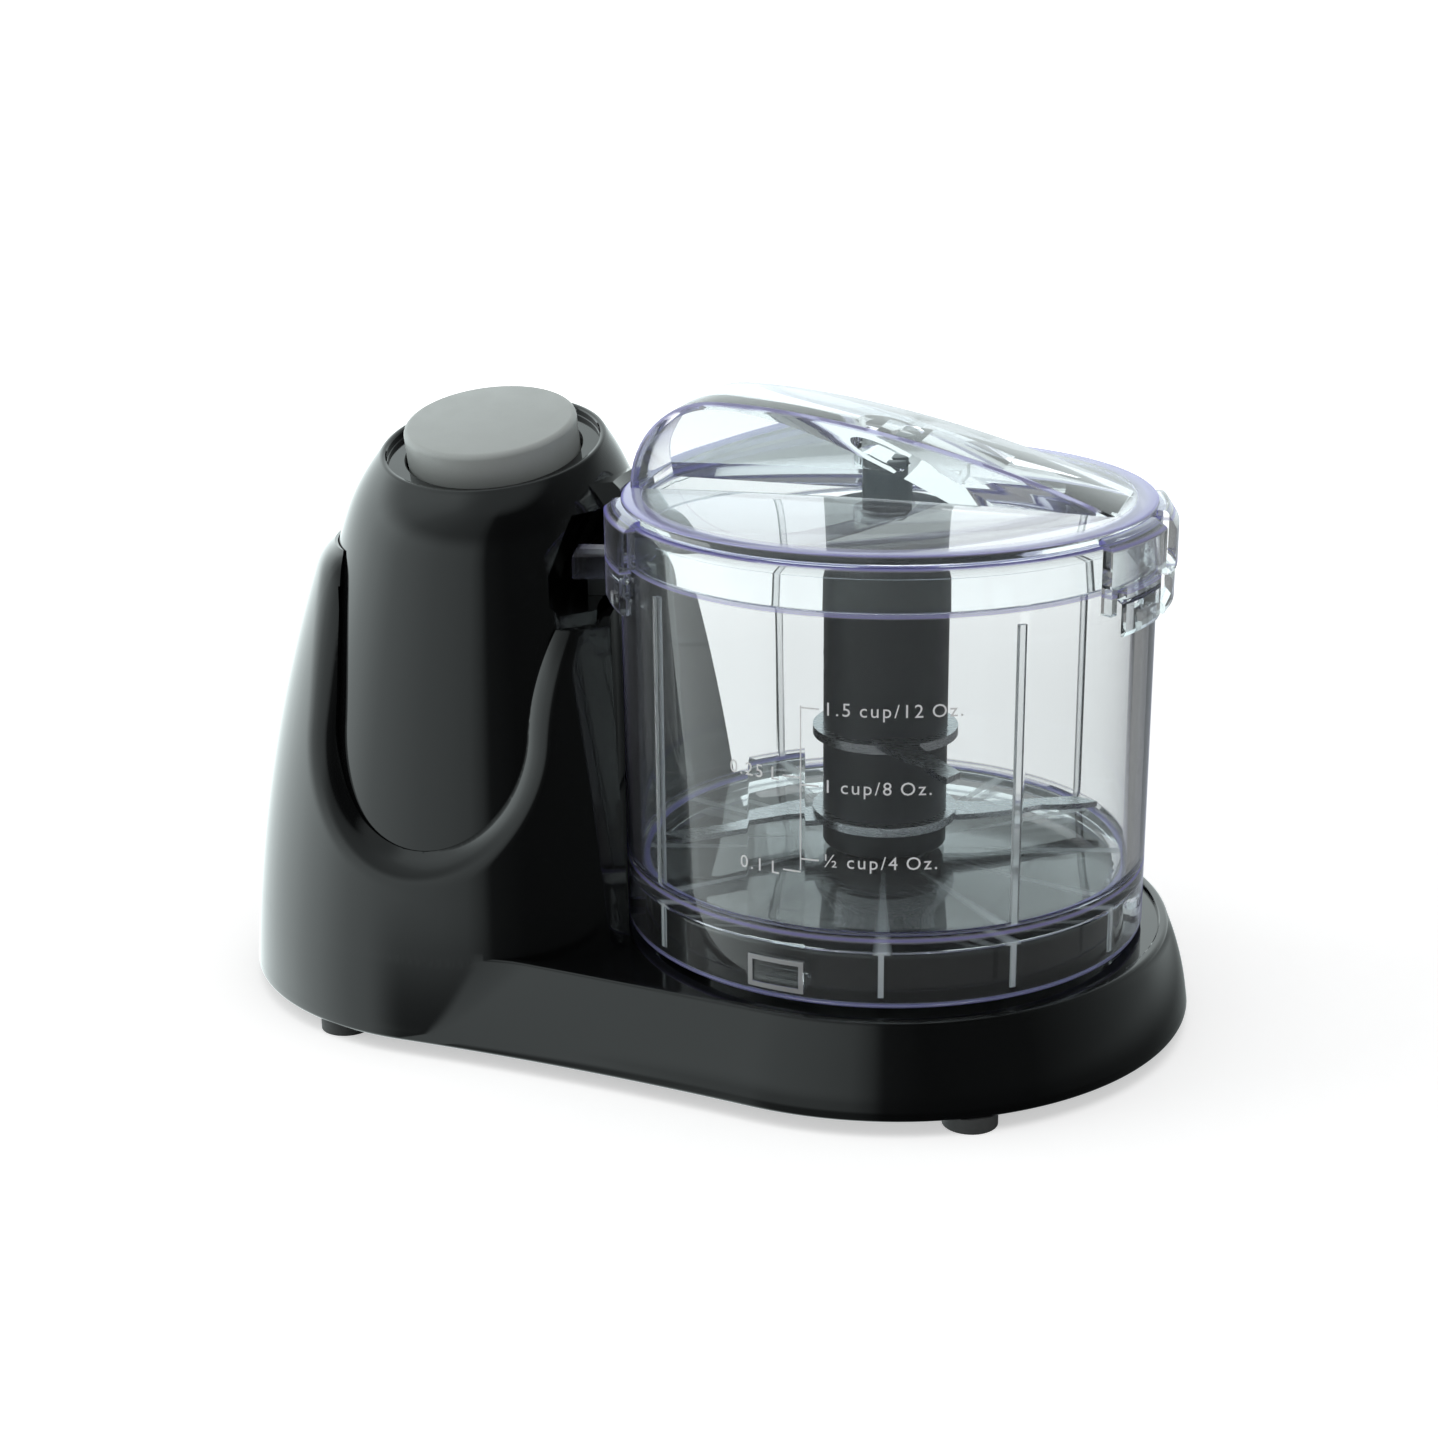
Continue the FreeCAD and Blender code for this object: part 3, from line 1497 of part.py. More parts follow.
FOOT_SPOTS = [
    (TOWER_X + " - 18", "-47.6"),
    (TOWER_X + " - 18", "47.6"),
    (BOWL_X + " + 31", "-51.5"),
    (BOWL_X + " + 31", "51.5"),
]
feet = [
    cylinder("foot_%d" % number, "5.5", "foot_height", x, y, "0")
    for number, (x, y) in enumerate(FOOT_SPOTS)
]
keep(fuse("rubber_feet", feet), "rubber_feet")

# Pulse switch on the motor's end cap, under the button's stem
SWITCH_Y = "(sin(top_tilt) * (4 - %s))" % STEM_END
switch_box = box(
    "switch_box", "20", "13", "switch_height", TOWER_X + " - 10", SWITCH_Y, SWITCH_LOW
)
switch_well = tilted_cylinder(
    "switch_well", "stem_radius + 0.5", STEM_END + " - 8", STEM_END + " + 6"
)
keep(cut("pulse_switch", switch_box, switch_well), "pulse_switch")
# Interlock slider in the channel, and the cord inlet's gland
slider_body = sector(
    "slider_body",
    [
        (NEST + " + 1.5", "channel_bottom + seat_gap"),
        (NEST + " + 6", "channel_bottom + seat_gap"),
        (NEST + " + 6", "channel_bottom + 10.5"),
        (NEST + " + 1.5", "channel_bottom + 10.5"),
    ],
    "channel_start + 6",
    "10.4",
)
keep(slider_body, "interlock_slider")
gland_barrel = cylinder("gland_barrel", "4.9", "8", TOWER_X, "0", "0")
move(gland_barrel, TOWER_X, INLET_SEAT + " - 4.5", INLET_Z, "-90", (1, 0, 0))
gland_flange = new("Part::Prism", "gland_flange")
gland_flange.Polygon = 8
bind(gland_flange, "Circumradius", "6.8")
bind(gland_flange, "Height", "3.5")
move(gland_flange, TOWER_X, INLET_SEAT, INLET_Z, "-90", (1, 0, 0))
gland_bore = cylinder("gland_bore", "3.1", "12", TOWER_X, "0", "0")
move(gland_bore, TOWER_X, INLET_SEAT + " - 6", INLET_Z, "-90", (1, 0, 0))
gland_form = fuse("gland_form", [gland_barrel, gland_flange])
keep(cut("cord_gland", gland_form, gland_bore), "cord_gland")
BOARD_X = TOWER_X + " - 44"
board_posts = []
for number, (x, y) in enumerate((("5", "8"), ("5", "-8"), ("16", "8"), ("16", "-8"))):
    board_posts.append(
        box("board_post_%d" % number, "3", "3", "3", BOARD_X + " + " + x, y, PLATE_TOP)
    )
board_slab = box("board_slab", "20", "24", "1.6", BOARD_X + " + 2", "0", PLATE_TOP + " + 3")
keep(fuse("circuit_board", [board_slab] + board_posts), "circuit_board")
keep(
    turned_body(
        "capacitor",
        [("0", "0"), ("4", "0"), ("4", "9.5"), ("0", "9.5")],
        BOARD_X + " + 14",
        "5",
        PLATE_TOP + " + 4.6",
    ),
    "capacitor",
)

doc.recompute()
os.makedirs("parts", exist_ok=True)
for item in doc.Objects:
    if "Invalid" in str(item.State):
        raise RuntimeError("object %s failed: %s" % (item.Name, item.State))
for item in parts:
    shape = item.Shape
    if shape.isNull() or not shape.isValid() or not shape.Solids:
        raise RuntimeError("piece %s has no valid solid" % item.Label)
    shape.exportStep("parts/%s.step" % item.Label)
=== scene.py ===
import json
import math

import bmesh
import bpy
from mathutils import Matrix, Vector


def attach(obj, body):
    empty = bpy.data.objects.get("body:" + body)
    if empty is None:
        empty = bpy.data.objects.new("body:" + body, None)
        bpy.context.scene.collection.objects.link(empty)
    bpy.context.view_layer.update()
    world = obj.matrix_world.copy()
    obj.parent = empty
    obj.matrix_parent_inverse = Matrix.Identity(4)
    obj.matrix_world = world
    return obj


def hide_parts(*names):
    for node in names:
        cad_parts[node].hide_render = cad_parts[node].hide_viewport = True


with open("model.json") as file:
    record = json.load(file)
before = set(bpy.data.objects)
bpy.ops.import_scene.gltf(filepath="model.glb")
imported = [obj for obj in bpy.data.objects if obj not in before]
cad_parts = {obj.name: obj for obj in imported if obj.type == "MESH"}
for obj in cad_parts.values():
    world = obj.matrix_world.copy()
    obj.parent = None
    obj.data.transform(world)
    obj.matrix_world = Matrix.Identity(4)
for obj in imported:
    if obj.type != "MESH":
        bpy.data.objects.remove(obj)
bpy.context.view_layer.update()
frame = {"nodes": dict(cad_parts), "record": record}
nodes = frame["nodes"]
scene = bpy.context.scene

# Housing.
# One moulding in gloss black plastic: the base with its shallow deck, and the tower's skin, which
# is cut by a round nest for the bowl and by a U-shaped scoop with a softly rolled lip.

# Lengths are in millimetres: places along X, radii, and heights above the table.
MM = 0.001
BOWL_X = 39.5
TOWER_X = -47.5
SPAN = BOWL_X - TOWER_X
NEST = 57.2
BASE_LOW = 3.0
LOW_ROUND = 0.8
BORDER = 20.8
INSIDE_TOP = 18.4
SHOULDER = 91
SHELL_TOP = 97.6
COVER_LOW = 38
CROWN = 98.6
CROWN_RISE = 18.8
WELL = 117.4
TILT = 13.5
SCOOP_HALF = 21.6
SCOOP_CENTRE = 64.5
SCOOP_DEPTH = 23.0
LIP = 6.6


class Wire:
    """A shader socket that maths can be written with."""

    def __init__(self, graph, socket):
        self.graph = graph
        self.socket = socket

    def maths(self, operation, *others):
        return self.graph.node("Math", {"operation": operation}, self, *others)

    def __add__(self, other):
        return self.maths("ADD", other)

    __radd__ = __add__

    def __mul__(self, other):
        return self.maths("MULTIPLY", other)

    __rmul__ = __mul__

    def __sub__(self, other):
        return self.maths("SUBTRACT", other)

    def __rsub__(self, other):
        return self.graph.node("Math", {"operation": "SUBTRACT"}, other, self)

    def __pow__(self, other):
        return self.maths("POWER", other)

    def abs(self):
        return self.maths("ABSOLUTE")

    def band(self, low, high, out_low=0.0, out_high=1.0):
        """A smooth step from one value to another between two readings."""
        return self.graph.node(
            "MapRange",
            {"interpolation_type": "SMOOTHSTEP"},
            Value=self,
            **{"From Min": low, "From Max": high, "To Min": out_low, "To Max": out_high},
        )

    def near(self, spot, reach):
        """One at a reading, fading to nothing at some reach from it."""
        return (self - spot).abs().band(0.0, reach, 1.0, 0.0)


class Graph:
    """A node tree that nodes of any kind can be added to."""

    def __init__(self, tree):
        self.tree = tree

    def node(self, kind, settings=None, *inputs, out=0, **named):
        made = self.tree.nodes.new("ShaderNode" + kind)
        for key, setting in (settings or {}).items():
            if key == "stops":
                ramp = made.color_ramp
                for spot, (place, level) in enumerate(setting):
                    stop = ramp.elements[spot] if spot < 2 else ramp.elements.new(place)
                    stop.position = place
                    stop.color = (level, level, level, 1.0)
            else:
                setattr(made, key, setting)
        for key, source in list(enumerate(inputs)) + list(named.items()):
            self.feed(made.inputs[key], source)
        return Wire(self, made.outputs[out])

    def feed(self, socket, source):
        if isinstance(source, Wire):
            self.tree.links.new(source.socket, socket)
        else:
            socket.default_value = source


class Finish(Graph):
    """A material with a principled shader, and the nodes that feed it."""

    def __init__(self, name, **constants):
        self.material = bpy.data.materials.new(name)
        self.material.use_nodes = True
        super().__init__(self.material.node_tree)
        self.shader = self.tree.nodes["Principled BSDF"]
        self.set(**constants)

    def set(self, **sockets):
        for key, source in sockets.items():
            self.feed(self.shader.inputs[key.replace("_", " ")], source)

    def place(self):
        """Object coordinates, in metres."""
        return self.node("TexCoord", out="Object")

    def noise(self, grain, detail=3.0, stretch=(1, 1, 1)):
        """Cloudy noise whose patches are about a given size, in metres."""
        where = self.node("Mapping", None, Vector=self.place(), Scale=stretch)
        return self.node("TexNoise", None, Vector=where, Scale=1.0 / grain, Detail=detail)

    def bumps(self, height, depth, strength=1.0):
        self.set(Normal=self.node("Bump", None, Height=height, Distance=depth, Strength=strength))

    def mix(self, factor, first, second):
        return self.node(
            "Mix", {"data_type": "RGBA"}, Factor=factor, A=first, B=second, out="Result"
        )

    def surface(self, shader):
        self.feed(self.tree.nodes["Material Output"].inputs["Surface"], shader)


def rounded(corners, steps=4):
    """A closed outline of (x, y) or (x, y, radius) corners, with those corners rounded."""
    points = []
    for number, corner in enumerate(corners):
        here = Vector(corner[:2])
        if len(corner) == 2:
            points.append((here.x, here.y))
            continue
        before = (Vector(corners[number - 1][:2]) - here).normalized()
        after = (Vector(corners[(number + 1) % len(corners)][:2]) - here).normalized()
        half = before.angle(after) / 2
        centre = here + (before + after).normalized() * (corner[2] / math.sin(half))
        ends = [here + side * (corner[2] / math.tan(half)) - centre for side in (before, after)]
        first, last = (math.atan2(end.y, end.x) for end in ends)
        turn = (last - first + math.pi) % (2 * math.pi) - math.pi
        for step in range(steps + 1):
            angle = first + turn * step / steps
            points.append(
                (centre.x + corner[2] * math.cos(angle), centre.y + corner[2] * math.sin(angle))
            )
    return points


def solid(name, rings, closed=False):
    """A closed skin through rings of points in millimetres, all with the same count."""
    count = len(rings[0])
    faces = []
    for row in range(len(rings) if closed else len(rings) - 1):
        low, high = row * count, (row + 1) % len(rings) * count
        for spot in range(count):
            beside = (spot + 1) % count
            faces.append((low + spot, low + beside, high + beside, high + spot))
    if not closed:
        faces.append(tuple(reversed(range(count))))
        faces.append(tuple(range((len(rings) - 1) * count, len(rings) * count)))
    mesh = bpy.data.meshes.new(name)
    mesh.from_pydata([Vector(point) * MM for ring in rings for point in ring], [], faces)
    work = bmesh.new()
    work.from_mesh(mesh)
    bmesh.ops.remove_doubles(work, verts=work.verts, dist=1e-7)
    bmesh.ops.dissolve_degenerate(work, edges=work.edges, dist=1e-8)
    bmesh.ops.recalc_face_normals(work, faces=work.faces)
    work.to_mesh(mesh)
    work.free()
    piece = bpy.data.objects.new(name, mesh)
    scene.collection.objects.link(piece)
    return piece


def turning(name, outline, x=BOWL_X, start=0.0, sweep=360.0, step=2.0):
    """A closed outline of (radius, height) turned about an upright axis."""
    closed = sweep == 360.0
    count = max(2, math.ceil(sweep / step))
    rings = []
    for number in range(count if closed else count + 1):
        angle = math.radians(start + sweep * number / count)
        rings.append([(x + r * math.cos(angle), r * math.sin(angle), z) for r, z in outline])
    return solid(name, rings, closed)


def drum(name, radius, low, high, x=BOWL_X):
    """A plain cylinder about an upright axis."""
    return turning(name, [(0, low), (radius, low), (radius, high), (0, high)], x)


def slab(name, outline, low, high, standing=False):
    """An outline pushed up from one height to another, or along Y when it stands in XZ."""
    rings = []
    for level in (low, high):
        rings.append([(a, level, b) if standing else (a, b, level) for a, b in outline])
    return solid(name, rings)


def block(name, low, high):
    """A box between two opposite corners."""
    plan = [(low[0], low[1]), (high[0], low[1]), (high[0], high[1]), (low[0], high[1])]
    return slab(name, plan, low[2], high[2])


def stand(piece, spot, degrees, axis):
    """Turn a piece about an axis through the origin, then move it by a spot's coordinates."""
    turn = Matrix.Rotation(math.radians(degrees), 4, axis)
    piece.data.transform(Matrix.Translation([part * MM for part in spot]) @ turn)
    return piece


def shape(piece, operation, tools):
    """Join tools to a piece, cut them from it, or keep what they share, and drop the tools.

    Any other modifier of the piece becomes plain mesh too, also where no tool is given.
    """
    for tool in tools:
        change = piece.modifiers.new("shape", "BOOLEAN")
        change.operation = operation
        change.solver = "MANIFOLD"
        change.object = tool
    bpy.context.view_layer.update()
    whole = piece.evaluated_get(bpy.context.evaluated_depsgraph_get())
    mesh = bpy.data.meshes.new_from_object(whole)
    mesh.name = piece.name
    piece.modifiers.clear()
    piece.data = mesh
    for tool in tools:
        bpy.data.objects.remove(tool)
    return piece


def smooth(piece, crease=28.0):
    """Shade a mesh smooth, apart from edges sharper than the crease angle."""
    work = bmesh.new()
    work.from_mesh(piece.data)
    bmesh.ops.remove_doubles(work, verts=work.verts, dist=2e-6)
    for face in work.faces:
        face.smooth = True
    for edge in work.edges:
        edge.smooth = edge.calc_face_angle(0.0) < math.radians(crease)
    work.to_mesh(piece.data)
    work.free()


def dress(piece, finish, body, node=None, crease=28.0):
    """Give a piece its finish and body, and let it stand for a node."""
    piece.data.materials.clear()
    piece.data.materials.append(finish.material)
    for face in piece.data.polygons:
        face.material_index = 0
    smooth(piece, crease)
    if node is not None:
        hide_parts(node)
    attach(piece, body)
    return piece


def copy_of(node, name):
    """A copy of a node's mesh as a piece of its own."""
    mesh = nodes[node].data.copy()
    mesh.name = name
    work = bmesh.new()
    work.from_mesh(mesh)
    bmesh.ops.remove_doubles(work, verts=work.verts, dist=2e-6)
    work.to_mesh(mesh)
    work.free()
    if "custom_normal" in mesh.attributes:
        mesh.attributes.remove(mesh.attributes["custom_normal"])
    piece = bpy.data.objects.new(name, mesh)
    scene.collection.objects.link(piece)
    return piece


def shell_radius(height):
    """The tower skin's radius, which leans in faster and faster up to a rounded shoulder."""
    if height <= SHOULDER:
        t = (height - BASE_LOW) / (SHOULDER - BASE_LOW)
        return 57 - 5.9 * t - 11.8 * t * t
    u = (height - SHOULDER) / (SHELL_TOP - SHOULDER)
    return 39.3 - 4.7 * (0.47 * u + 0.53 * u**3)


def arc(centre, radius, first, last, count):
    """Points on part of a circle, between two angles in radians, without the last one."""
    points = []
    for step in range(count):
        angle = first + (last - first) * step / count
        points.append((centre[0] + radius * math.cos(angle), centre[1] + radius * math.sin(angle)))
    return points


def capsule(tower_radius, bowl_radius, waist, round_tower=None, fillet=30.0):
    """Outline round both axes with hollow waists, which can flow into a wider tower's round."""
    far, near = waist + bowl_radius, waist + tower_radius
    bowl_turn = math.acos((SPAN**2 + far**2 - near**2) / (2 * SPAN * far))
    hollow = Vector((BOWL_X - far * math.cos(bowl_turn), far * math.sin(bowl_turn)))
    tower = Vector((TOWER_X, 0))
    wide = tower_radius if round_tower is None else max(round_tower, tower_radius)
    apart = (tower - hollow).length
    one, two = wide + fillet, waist - fillet
    along = (one**2 - two**2 + apart**2) / (2 * apart)
    aside = math.sqrt(max(one**2 - along**2, 0.0))
    way = (hollow - tower) / apart
    corner = tower + way * along + Vector((way.y, -way.x)) * aside

    def bearing(start, end):
        return math.atan2(end.y - start.y, end.x - start.x)

    tower_turn = bearing(tower, corner)
    waist_turn = bearing(hollow, corner) % (2 * math.pi) - 2 * math.pi
    points = arc((BOWL_X, 0), bowl_radius, 0, math.pi - bowl_turn, 90)
    points += arc(hollow, waist, -bowl_turn, waist_turn, 36)
    points += arc(corner, fillet, waist_turn, tower_turn - math.pi, 12)
    points += arc(tower, wide, tower_turn, math.pi, 110) + [(TOWER_X - wide, 0)]
    return points + [(x, -y) for x, y in reversed(points[1:-1])]


def base_ring(height, inset=0.0, level=None):
    """The base's outline at a height on its bulging side, moved in by an inset."""
    t = (height - BASE_LOW) / 18
    plan = capsule(
        57 - 4.489 * t - 3.511 * t * t - inset,
        65 - 1.48 * t - 3.22 * t * t - inset,
        1 / (0.0016667 - 0.0006797 * t - 0.000737 * t * t) + inset,
        shell_radius(height) - inset,
    )
    return [(x, y, height if level is None else level) for x, y in plan]


quarter = [math.radians(angle) for angle in (0, 18, 36, 54, 72, 90)]
straight_low = BASE_LOW + LOW_ROUND
base_rings = []
for angle in quarter:
    inset, drop = LOW_ROUND * (1 - math.sin(angle)), LOW_ROUND * math.cos(angle)
    base_rings.append(base_ring(BASE_LOW, inset, straight_low - drop))
base_rings += [base_ring(straight_low + 17 * step / 12) for step in range(1, 12)]
base_rings += [base_ring(BORDER, 1 - math.cos(a), BORDER + math.sin(a)) for a in quarter]
for inset, rise in ((1.8, 1.0), (2.05, 0.85), (2.2, 0.4), (2.3, 0.0)):
    base_rings.append(base_ring(BORDER, inset, BORDER + rise))
housing = solid("housing_skin", base_rings)


def cover_radius(height):
    """The cover's radius, which leans in up to the foot of its crown."""
    t = (height - COVER_LOW) / (CROWN - COVER_LOW)
    return 47.4 - 10.2 * t - 3.8 * t * t


def scoop_sides(height, grow=0.0):
    """Half widths of the U scoop to the left and right, which open towards the top."""
    rise = max(0.0, (height - SCOOP_CENTRE) / 39.5)
    return SCOOP_HALF + 4.5 * rise**1.5 + grow, SCOOP_HALF + 13.4 * rise**2.2 + grow


def scoop_distance(x, z):
    """How far a spot in the XZ plane lies outside the U scoop's outline."""
    left, right = scoop_sides(z)
    across = x - TOWER_X
    if z >= SCOOP_CENTRE:
        return -across - left if across < 0 else across - right
    across, down = across / left, (SCOOP_CENTRE - z) / SCOOP_DEPTH
    reach = max(math.hypot(across, down), 1e-6)
    return (reach - 1) * reach / math.hypot(across / left, down / SCOOP_DEPTH)


def scoop_outline(grow=0.0, top=112):
    """The U scoop's outline as (x, z) points, grown outwards by some reach."""
    points = []
    for step in range(49):
        angle = math.pi + math.pi * step / 48
        x = TOWER_X + (SCOOP_HALF + grow) * math.cos(angle)
        points.append((x, SCOOP_CENTRE + (SCOOP_DEPTH + grow) * math.sin(angle)))
    levels = [SCOOP_CENTRE + (top - SCOOP_CENTRE) * step / 40 for step in range(1, 41)]
    points += [(TOWER_X + scoop_sides(z, grow)[1], z) for z in levels]
    points += [(TOWER_X - scoop_sides(z, grow)[0], z) for z in reversed(levels)]
    return points


bearings = [-135 + 0.6 * step for step in range(200)] + [-15 + 1.5 * step for step in range(160)]
shell_heights = [BORDER - 1, BORDER, 23.0, 26.0, 29.0, 32.0]
shell_heights += [35.0 + 0.6 * step for step in range(104)] + [SHELL_TOP]
shell_rings = []
for z in shell_heights:
    ring = []
    for bearing in bearings:
        angle = math.radians(bearing)
        radius = shell_radius(z) - (0.8 if z < BORDER else 0.0)
        step = shell_radius(z) - cover_radius(max(z, COVER_LOW)) - 0.35
        share = 0.0
        for _ in range(2):
            x = TOWER_X + (radius - step * share) * math.cos(angle)
            gap = scoop_distance(x, z) if math.sin(angle) < 0 else LIP
            share = max(0.0, 1 - max(gap, -1.2) / LIP) ** 2.2
        radius -= step * share
        ring.append((TOWER_X + radius * math.cos(angle), radius * math.sin(angle), z))
    shell_rings.append(ring)
tower = solid("tower_skin", shell_rings)


def crown_radius(part):
    """The radius of the cover's crown, from its foot at 0 to the well's rim at 1."""
    return 33.4 - 5.5 * part - 3.6 * part**3


def cover_rings(grow, crown, low=COVER_LOW):
    """Rings up the cover's outside: level ones, then ones that tilt towards the front."""
    rings = []
    heights = [low + (CROWN - low) * step / 40 for step in range(41)]
    stations = [(z, cover_radius(z), 0.0) for z in heights]
    for step in range(1, math.ceil(24 * crown) + 1):
        part = min(step / 24, crown)
        stations.append((CROWN + CROWN_RISE * part, crown_radius(part), TILT * part**1.6))
    for z, radius, tilt in stations:
        rings.append(tilted_ring(radius + grow, z, 0.0, tilt))
    return rings


def tilted_ring(radius, z, above=0.0, tilt=TILT, count=240):
    """A circle about the tower's axis, tilted to the front, at a height over its own plane."""
    turn = math.radians(tilt)
    ring = []
    for spot in range(count):
        angle = 2 * math.pi * spot / count
        x, y = TOWER_X + radius * math.cos(angle), radius * math.sin(angle)
        back = y * math.cos(turn) - above * math.sin(turn)
        ring.append((x, back, z + y * math.sin(turn) + above * math.cos(turn)))
    return ring


def sector(name, outline, start, sweep):
    """An outline of (radius, height) swept part of the way round the bowl's axis."""
    return turning(name, outline, BOWL_X, start, sweep, 1.5)


hollow = turning("hollow", [(0, 17.4), (53.1, 17.4), (36.9, SHOULDER), (0, SHOULDER)], TOWER_X)
front = slab("front", scoop_outline(8), -70, -30, True)
shape(hollow, "DIFFERENCE", [drum("nest_wall", 59.6, INSIDE_TOP, 140), front])
space = solid("space", cover_rings(0.25, 1.0, 37.0))
shape(space, "DIFFERENCE", [drum("nest_wall", 59.6, 1.0, 94.9)])
shape(tower, "DIFFERENCE", [drum("nest", NEST, BORDER, 140)])
shape(housing, "UNION", [tower])
shape(
    housing,
    "DIFFERENCE",
    [
        hollow,
        drum("tower_end", 46.2, -1, INSIDE_TOP, TOWER_X),
        drum("bowl_end", 57.5, -1, INSIDE_TOP),
        block("middle", (TOWER_X, -46.17, -1), (BOWL_X, 46.17, INSIDE_TOP)),
        drum("drum", 46.0, 17.4, 30.95),
        slab("recess", capsule(54.1, 62.1, 600), -1, 5.2),
    ],
)
nest_lug = [(47.4, 27.75), (51.5, 27.75), (51.5, 29.45), (50.7, 30.25), (47.4, 30.25)]
collar = [(0, 30.95), (46, 30.95), (46, 19.8), (48.4, 19.8), (48.4, 33.35), (0, 33.35)]
spots = [(TOWER_X - 44, 25), (TOWER_X - 44, -25), (BOWL_X - 43, 43), (BOWL_X - 43, -43)]
spots += [(BOWL_X + 36, 37), (BOWL_X + 36, -37)]
joins = [turning("collar", collar), drum("column", 5.5, 33, 88), drum("column_foot", 8.5, 22, 33)]
joins += [sector("nest_lug", nest_lug, -104.5 + turn, 13) for turn in (0, 120, 240)]
for x, y in spots:
    joins.append(block("post", (x - 3.5, y - 3.5, 5.2), (x + 3.5, y + 3.5, 19.8)))
shape(housing, "UNION", joins)
inlet = turning("inlet", [(0, 37), (5, 37), (5, 55.3), (7.2, 55.3), (7.2, 75), (0, 75)], 0)
stand(inlet, (TOWER_X, 0, 15), -90, "X")
shape(
    housing,
    "DIFFERENCE",
    [
        space,
        slab("scoop", scoop_outline(), -70, -20, True),
        drum("bore", 4.4, 21, 90),
        sector("room", [(53.2, 85.75), (71.9, 85.75), (71.9, 111), (53.2, 111)], 169.6, 50),
        inlet,
    ],
)
ledges = [
    block("ledge", (TOWER_X - 40, -6, 85.4), (TOWER_X - 31, 6, 87.6)),
    block("ledge", (TOWER_X - 6, 31, 85.4), (TOWER_X + 6, 40, 87.6)),
]
shape(housing, "UNION", ledges)

gloss = Finish("gloss_black", Base_Color=(0.004, 0.0043, 0.0045, 1.0), IOR=1.5)
gloss.set(Roughness=gloss.noise(0.02).band(0.3, 0.7, 0.05, 0.08))
gloss.bumps(gloss.noise(0.009, 1.0), 0.000012)
dress(housing, gloss, "base", "main_housing")

# Tower cover.
# A second gloss black moulding inside the skin. It shows through the scoop, rises to the button's
# sloping well and forms the slot at the bowl's side that takes the lid's tab.
COVER_WALL = 2.2
rings = cover_rings(0.0, 1.0)
well_outline = [
    (24.18, 0.08), (23.85, 0.2), (23.5, 0.2), (23.1, 0.1), (22.9, -0.2), (22.9, -1.45),
    (22.75, -1.6), (19.2, -1.6), (18.9, -1.9), (18.9, -3.6), (24.4, -3.6),
]
rings += [tilted_ring(radius, WELL, above) for radius, above in well_outline]
for step in range(19, -1, -1):
    part = step / 24
    z = CROWN + CROWN_RISE * part
    rings.append(tilted_ring(crown_radius(part) - COVER_WALL, z, 0.0, TILT * part**1.6))
rings.append(tilted_ring(cover_radius(COVER_LOW) - COVER_WALL, COVER_LOW, 0.0, 0.0))
cover = solid("cover_skin", rings, True)
channel_block = [(53.2, 86), (71.5, 86), (71.5, 96), (66.8, 109), (53.2, 109)]
channel = [(53.2, 88), (67.5, 88), (69.5, 90), (69.5, 96), (64.8, 107), (53.2, 107)]
bridge = [(55.6, 107.6), (65.2, 107.6), (65.2, 111.6), (57.1, 112.6), (55.6, 111.1)]
outside = solid("outside", cover_rings(-0.02, 0.97))
wall = drum("wall", 59.4, 92.6, 126)
shape(wall, "INTERSECT", [outside])
outside = solid("outside", cover_rings(-0.02, 0.97))
lining = sector("lining", channel_block, 170, 48)
shape(lining, "INTERSECT", [outside])
shape(cover, "UNION", [wall, lining, sector("bridge", bridge, 175, 14)])
high = drum("high", NEST, 92.6, 140)
shape(high, "DIFFERENCE", [sector("bridge", bridge, 175, 14)])
shape(
    cover,
    "DIFFERENCE",
    [
        drum("low", 59.85, 30, 94.85),
        high,
        block("rear", (TOWER_X - 60, -14, 30), (TOWER_X + 60, 86, 87.6)),
        sector("channel", channel, 172, 36),
    ],
)
dress(cover, gloss, "base", "tower_cover")

# Pulse button.
# A cap in satin grey plastic with a fine spark-eroded grain and a rounded edge. Its stem and
# square catch hold it under the well's floor.
cap_profile = rounded([(0, -5.3), (18.5, -5.3), (18.5, 5.5, 1.25), (0, 5.7)], 6)
cap_rings = [tilted_ring(max(r, 0.001), WELL, h, TILT, 144) for r, h in cap_profile]
button = solid("button_cap", cap_rings)
stem = solid("stem", [tilted_ring(2.6, WELL, h, TILT, 32) for h in (-26, -5)])
catch = block("catch", (-14.15, -14.15, -5.3), (14.15, 14.15, -3.7))
stand(catch, (TOWER_X, 0, WELL), TILT, "X")
shape(button, "UNION", [stem, catch])
grey = Finish("satin_grey")
grain = grey.noise(0.00035, 2.0)
grey.set(Base_Color=grey.mix(grain, (0.41, 0.44, 0.43, 1), (0.45, 0.48, 0.47, 1)))
grey.set(Roughness=grey.noise(0.004).band(0.3, 0.7, 0.4, 0.48))
grey.bumps(grain, 0.000015)
dress(button, grey, "button", "pulse_button", 24.0)

# Bowl.
# Clear injection-moulded plastic: a straight wall with a bead under its rim, a floor with the
# drive's tube in its middle, a ribbed skirt below and the lock loop over the front lug.
WALL = 54.7
INSIDE = 52.3
FLOOR = 36.4
HOOK_TURNS = (0, -132, 113.5)
clear = Finish("clear_plastic", Roughness=0.015, IOR=1.47)
clear.set(Transmission_Weight=1.0)
# Painted highlight: where the plastic is seen edge-on its colour turns violet, standing in for the
# violet light along its edges.
facing = clear.node("LayerWeight", None, Blend=0.5, out="Facing")
edge = facing**8.0
# Per-vertex painted light and shade, set by the function below: painted glints (pale), painted
# violet highlights and painted shade (dark).
caught = clear.node("Attribute", {"attribute_name": "caught"}, out="Vector")
painted_glint, painted_violet_highlight, painted_shade = (clear.node("SeparateXYZ", None, caught, out=axis) for axis in "XYZ")
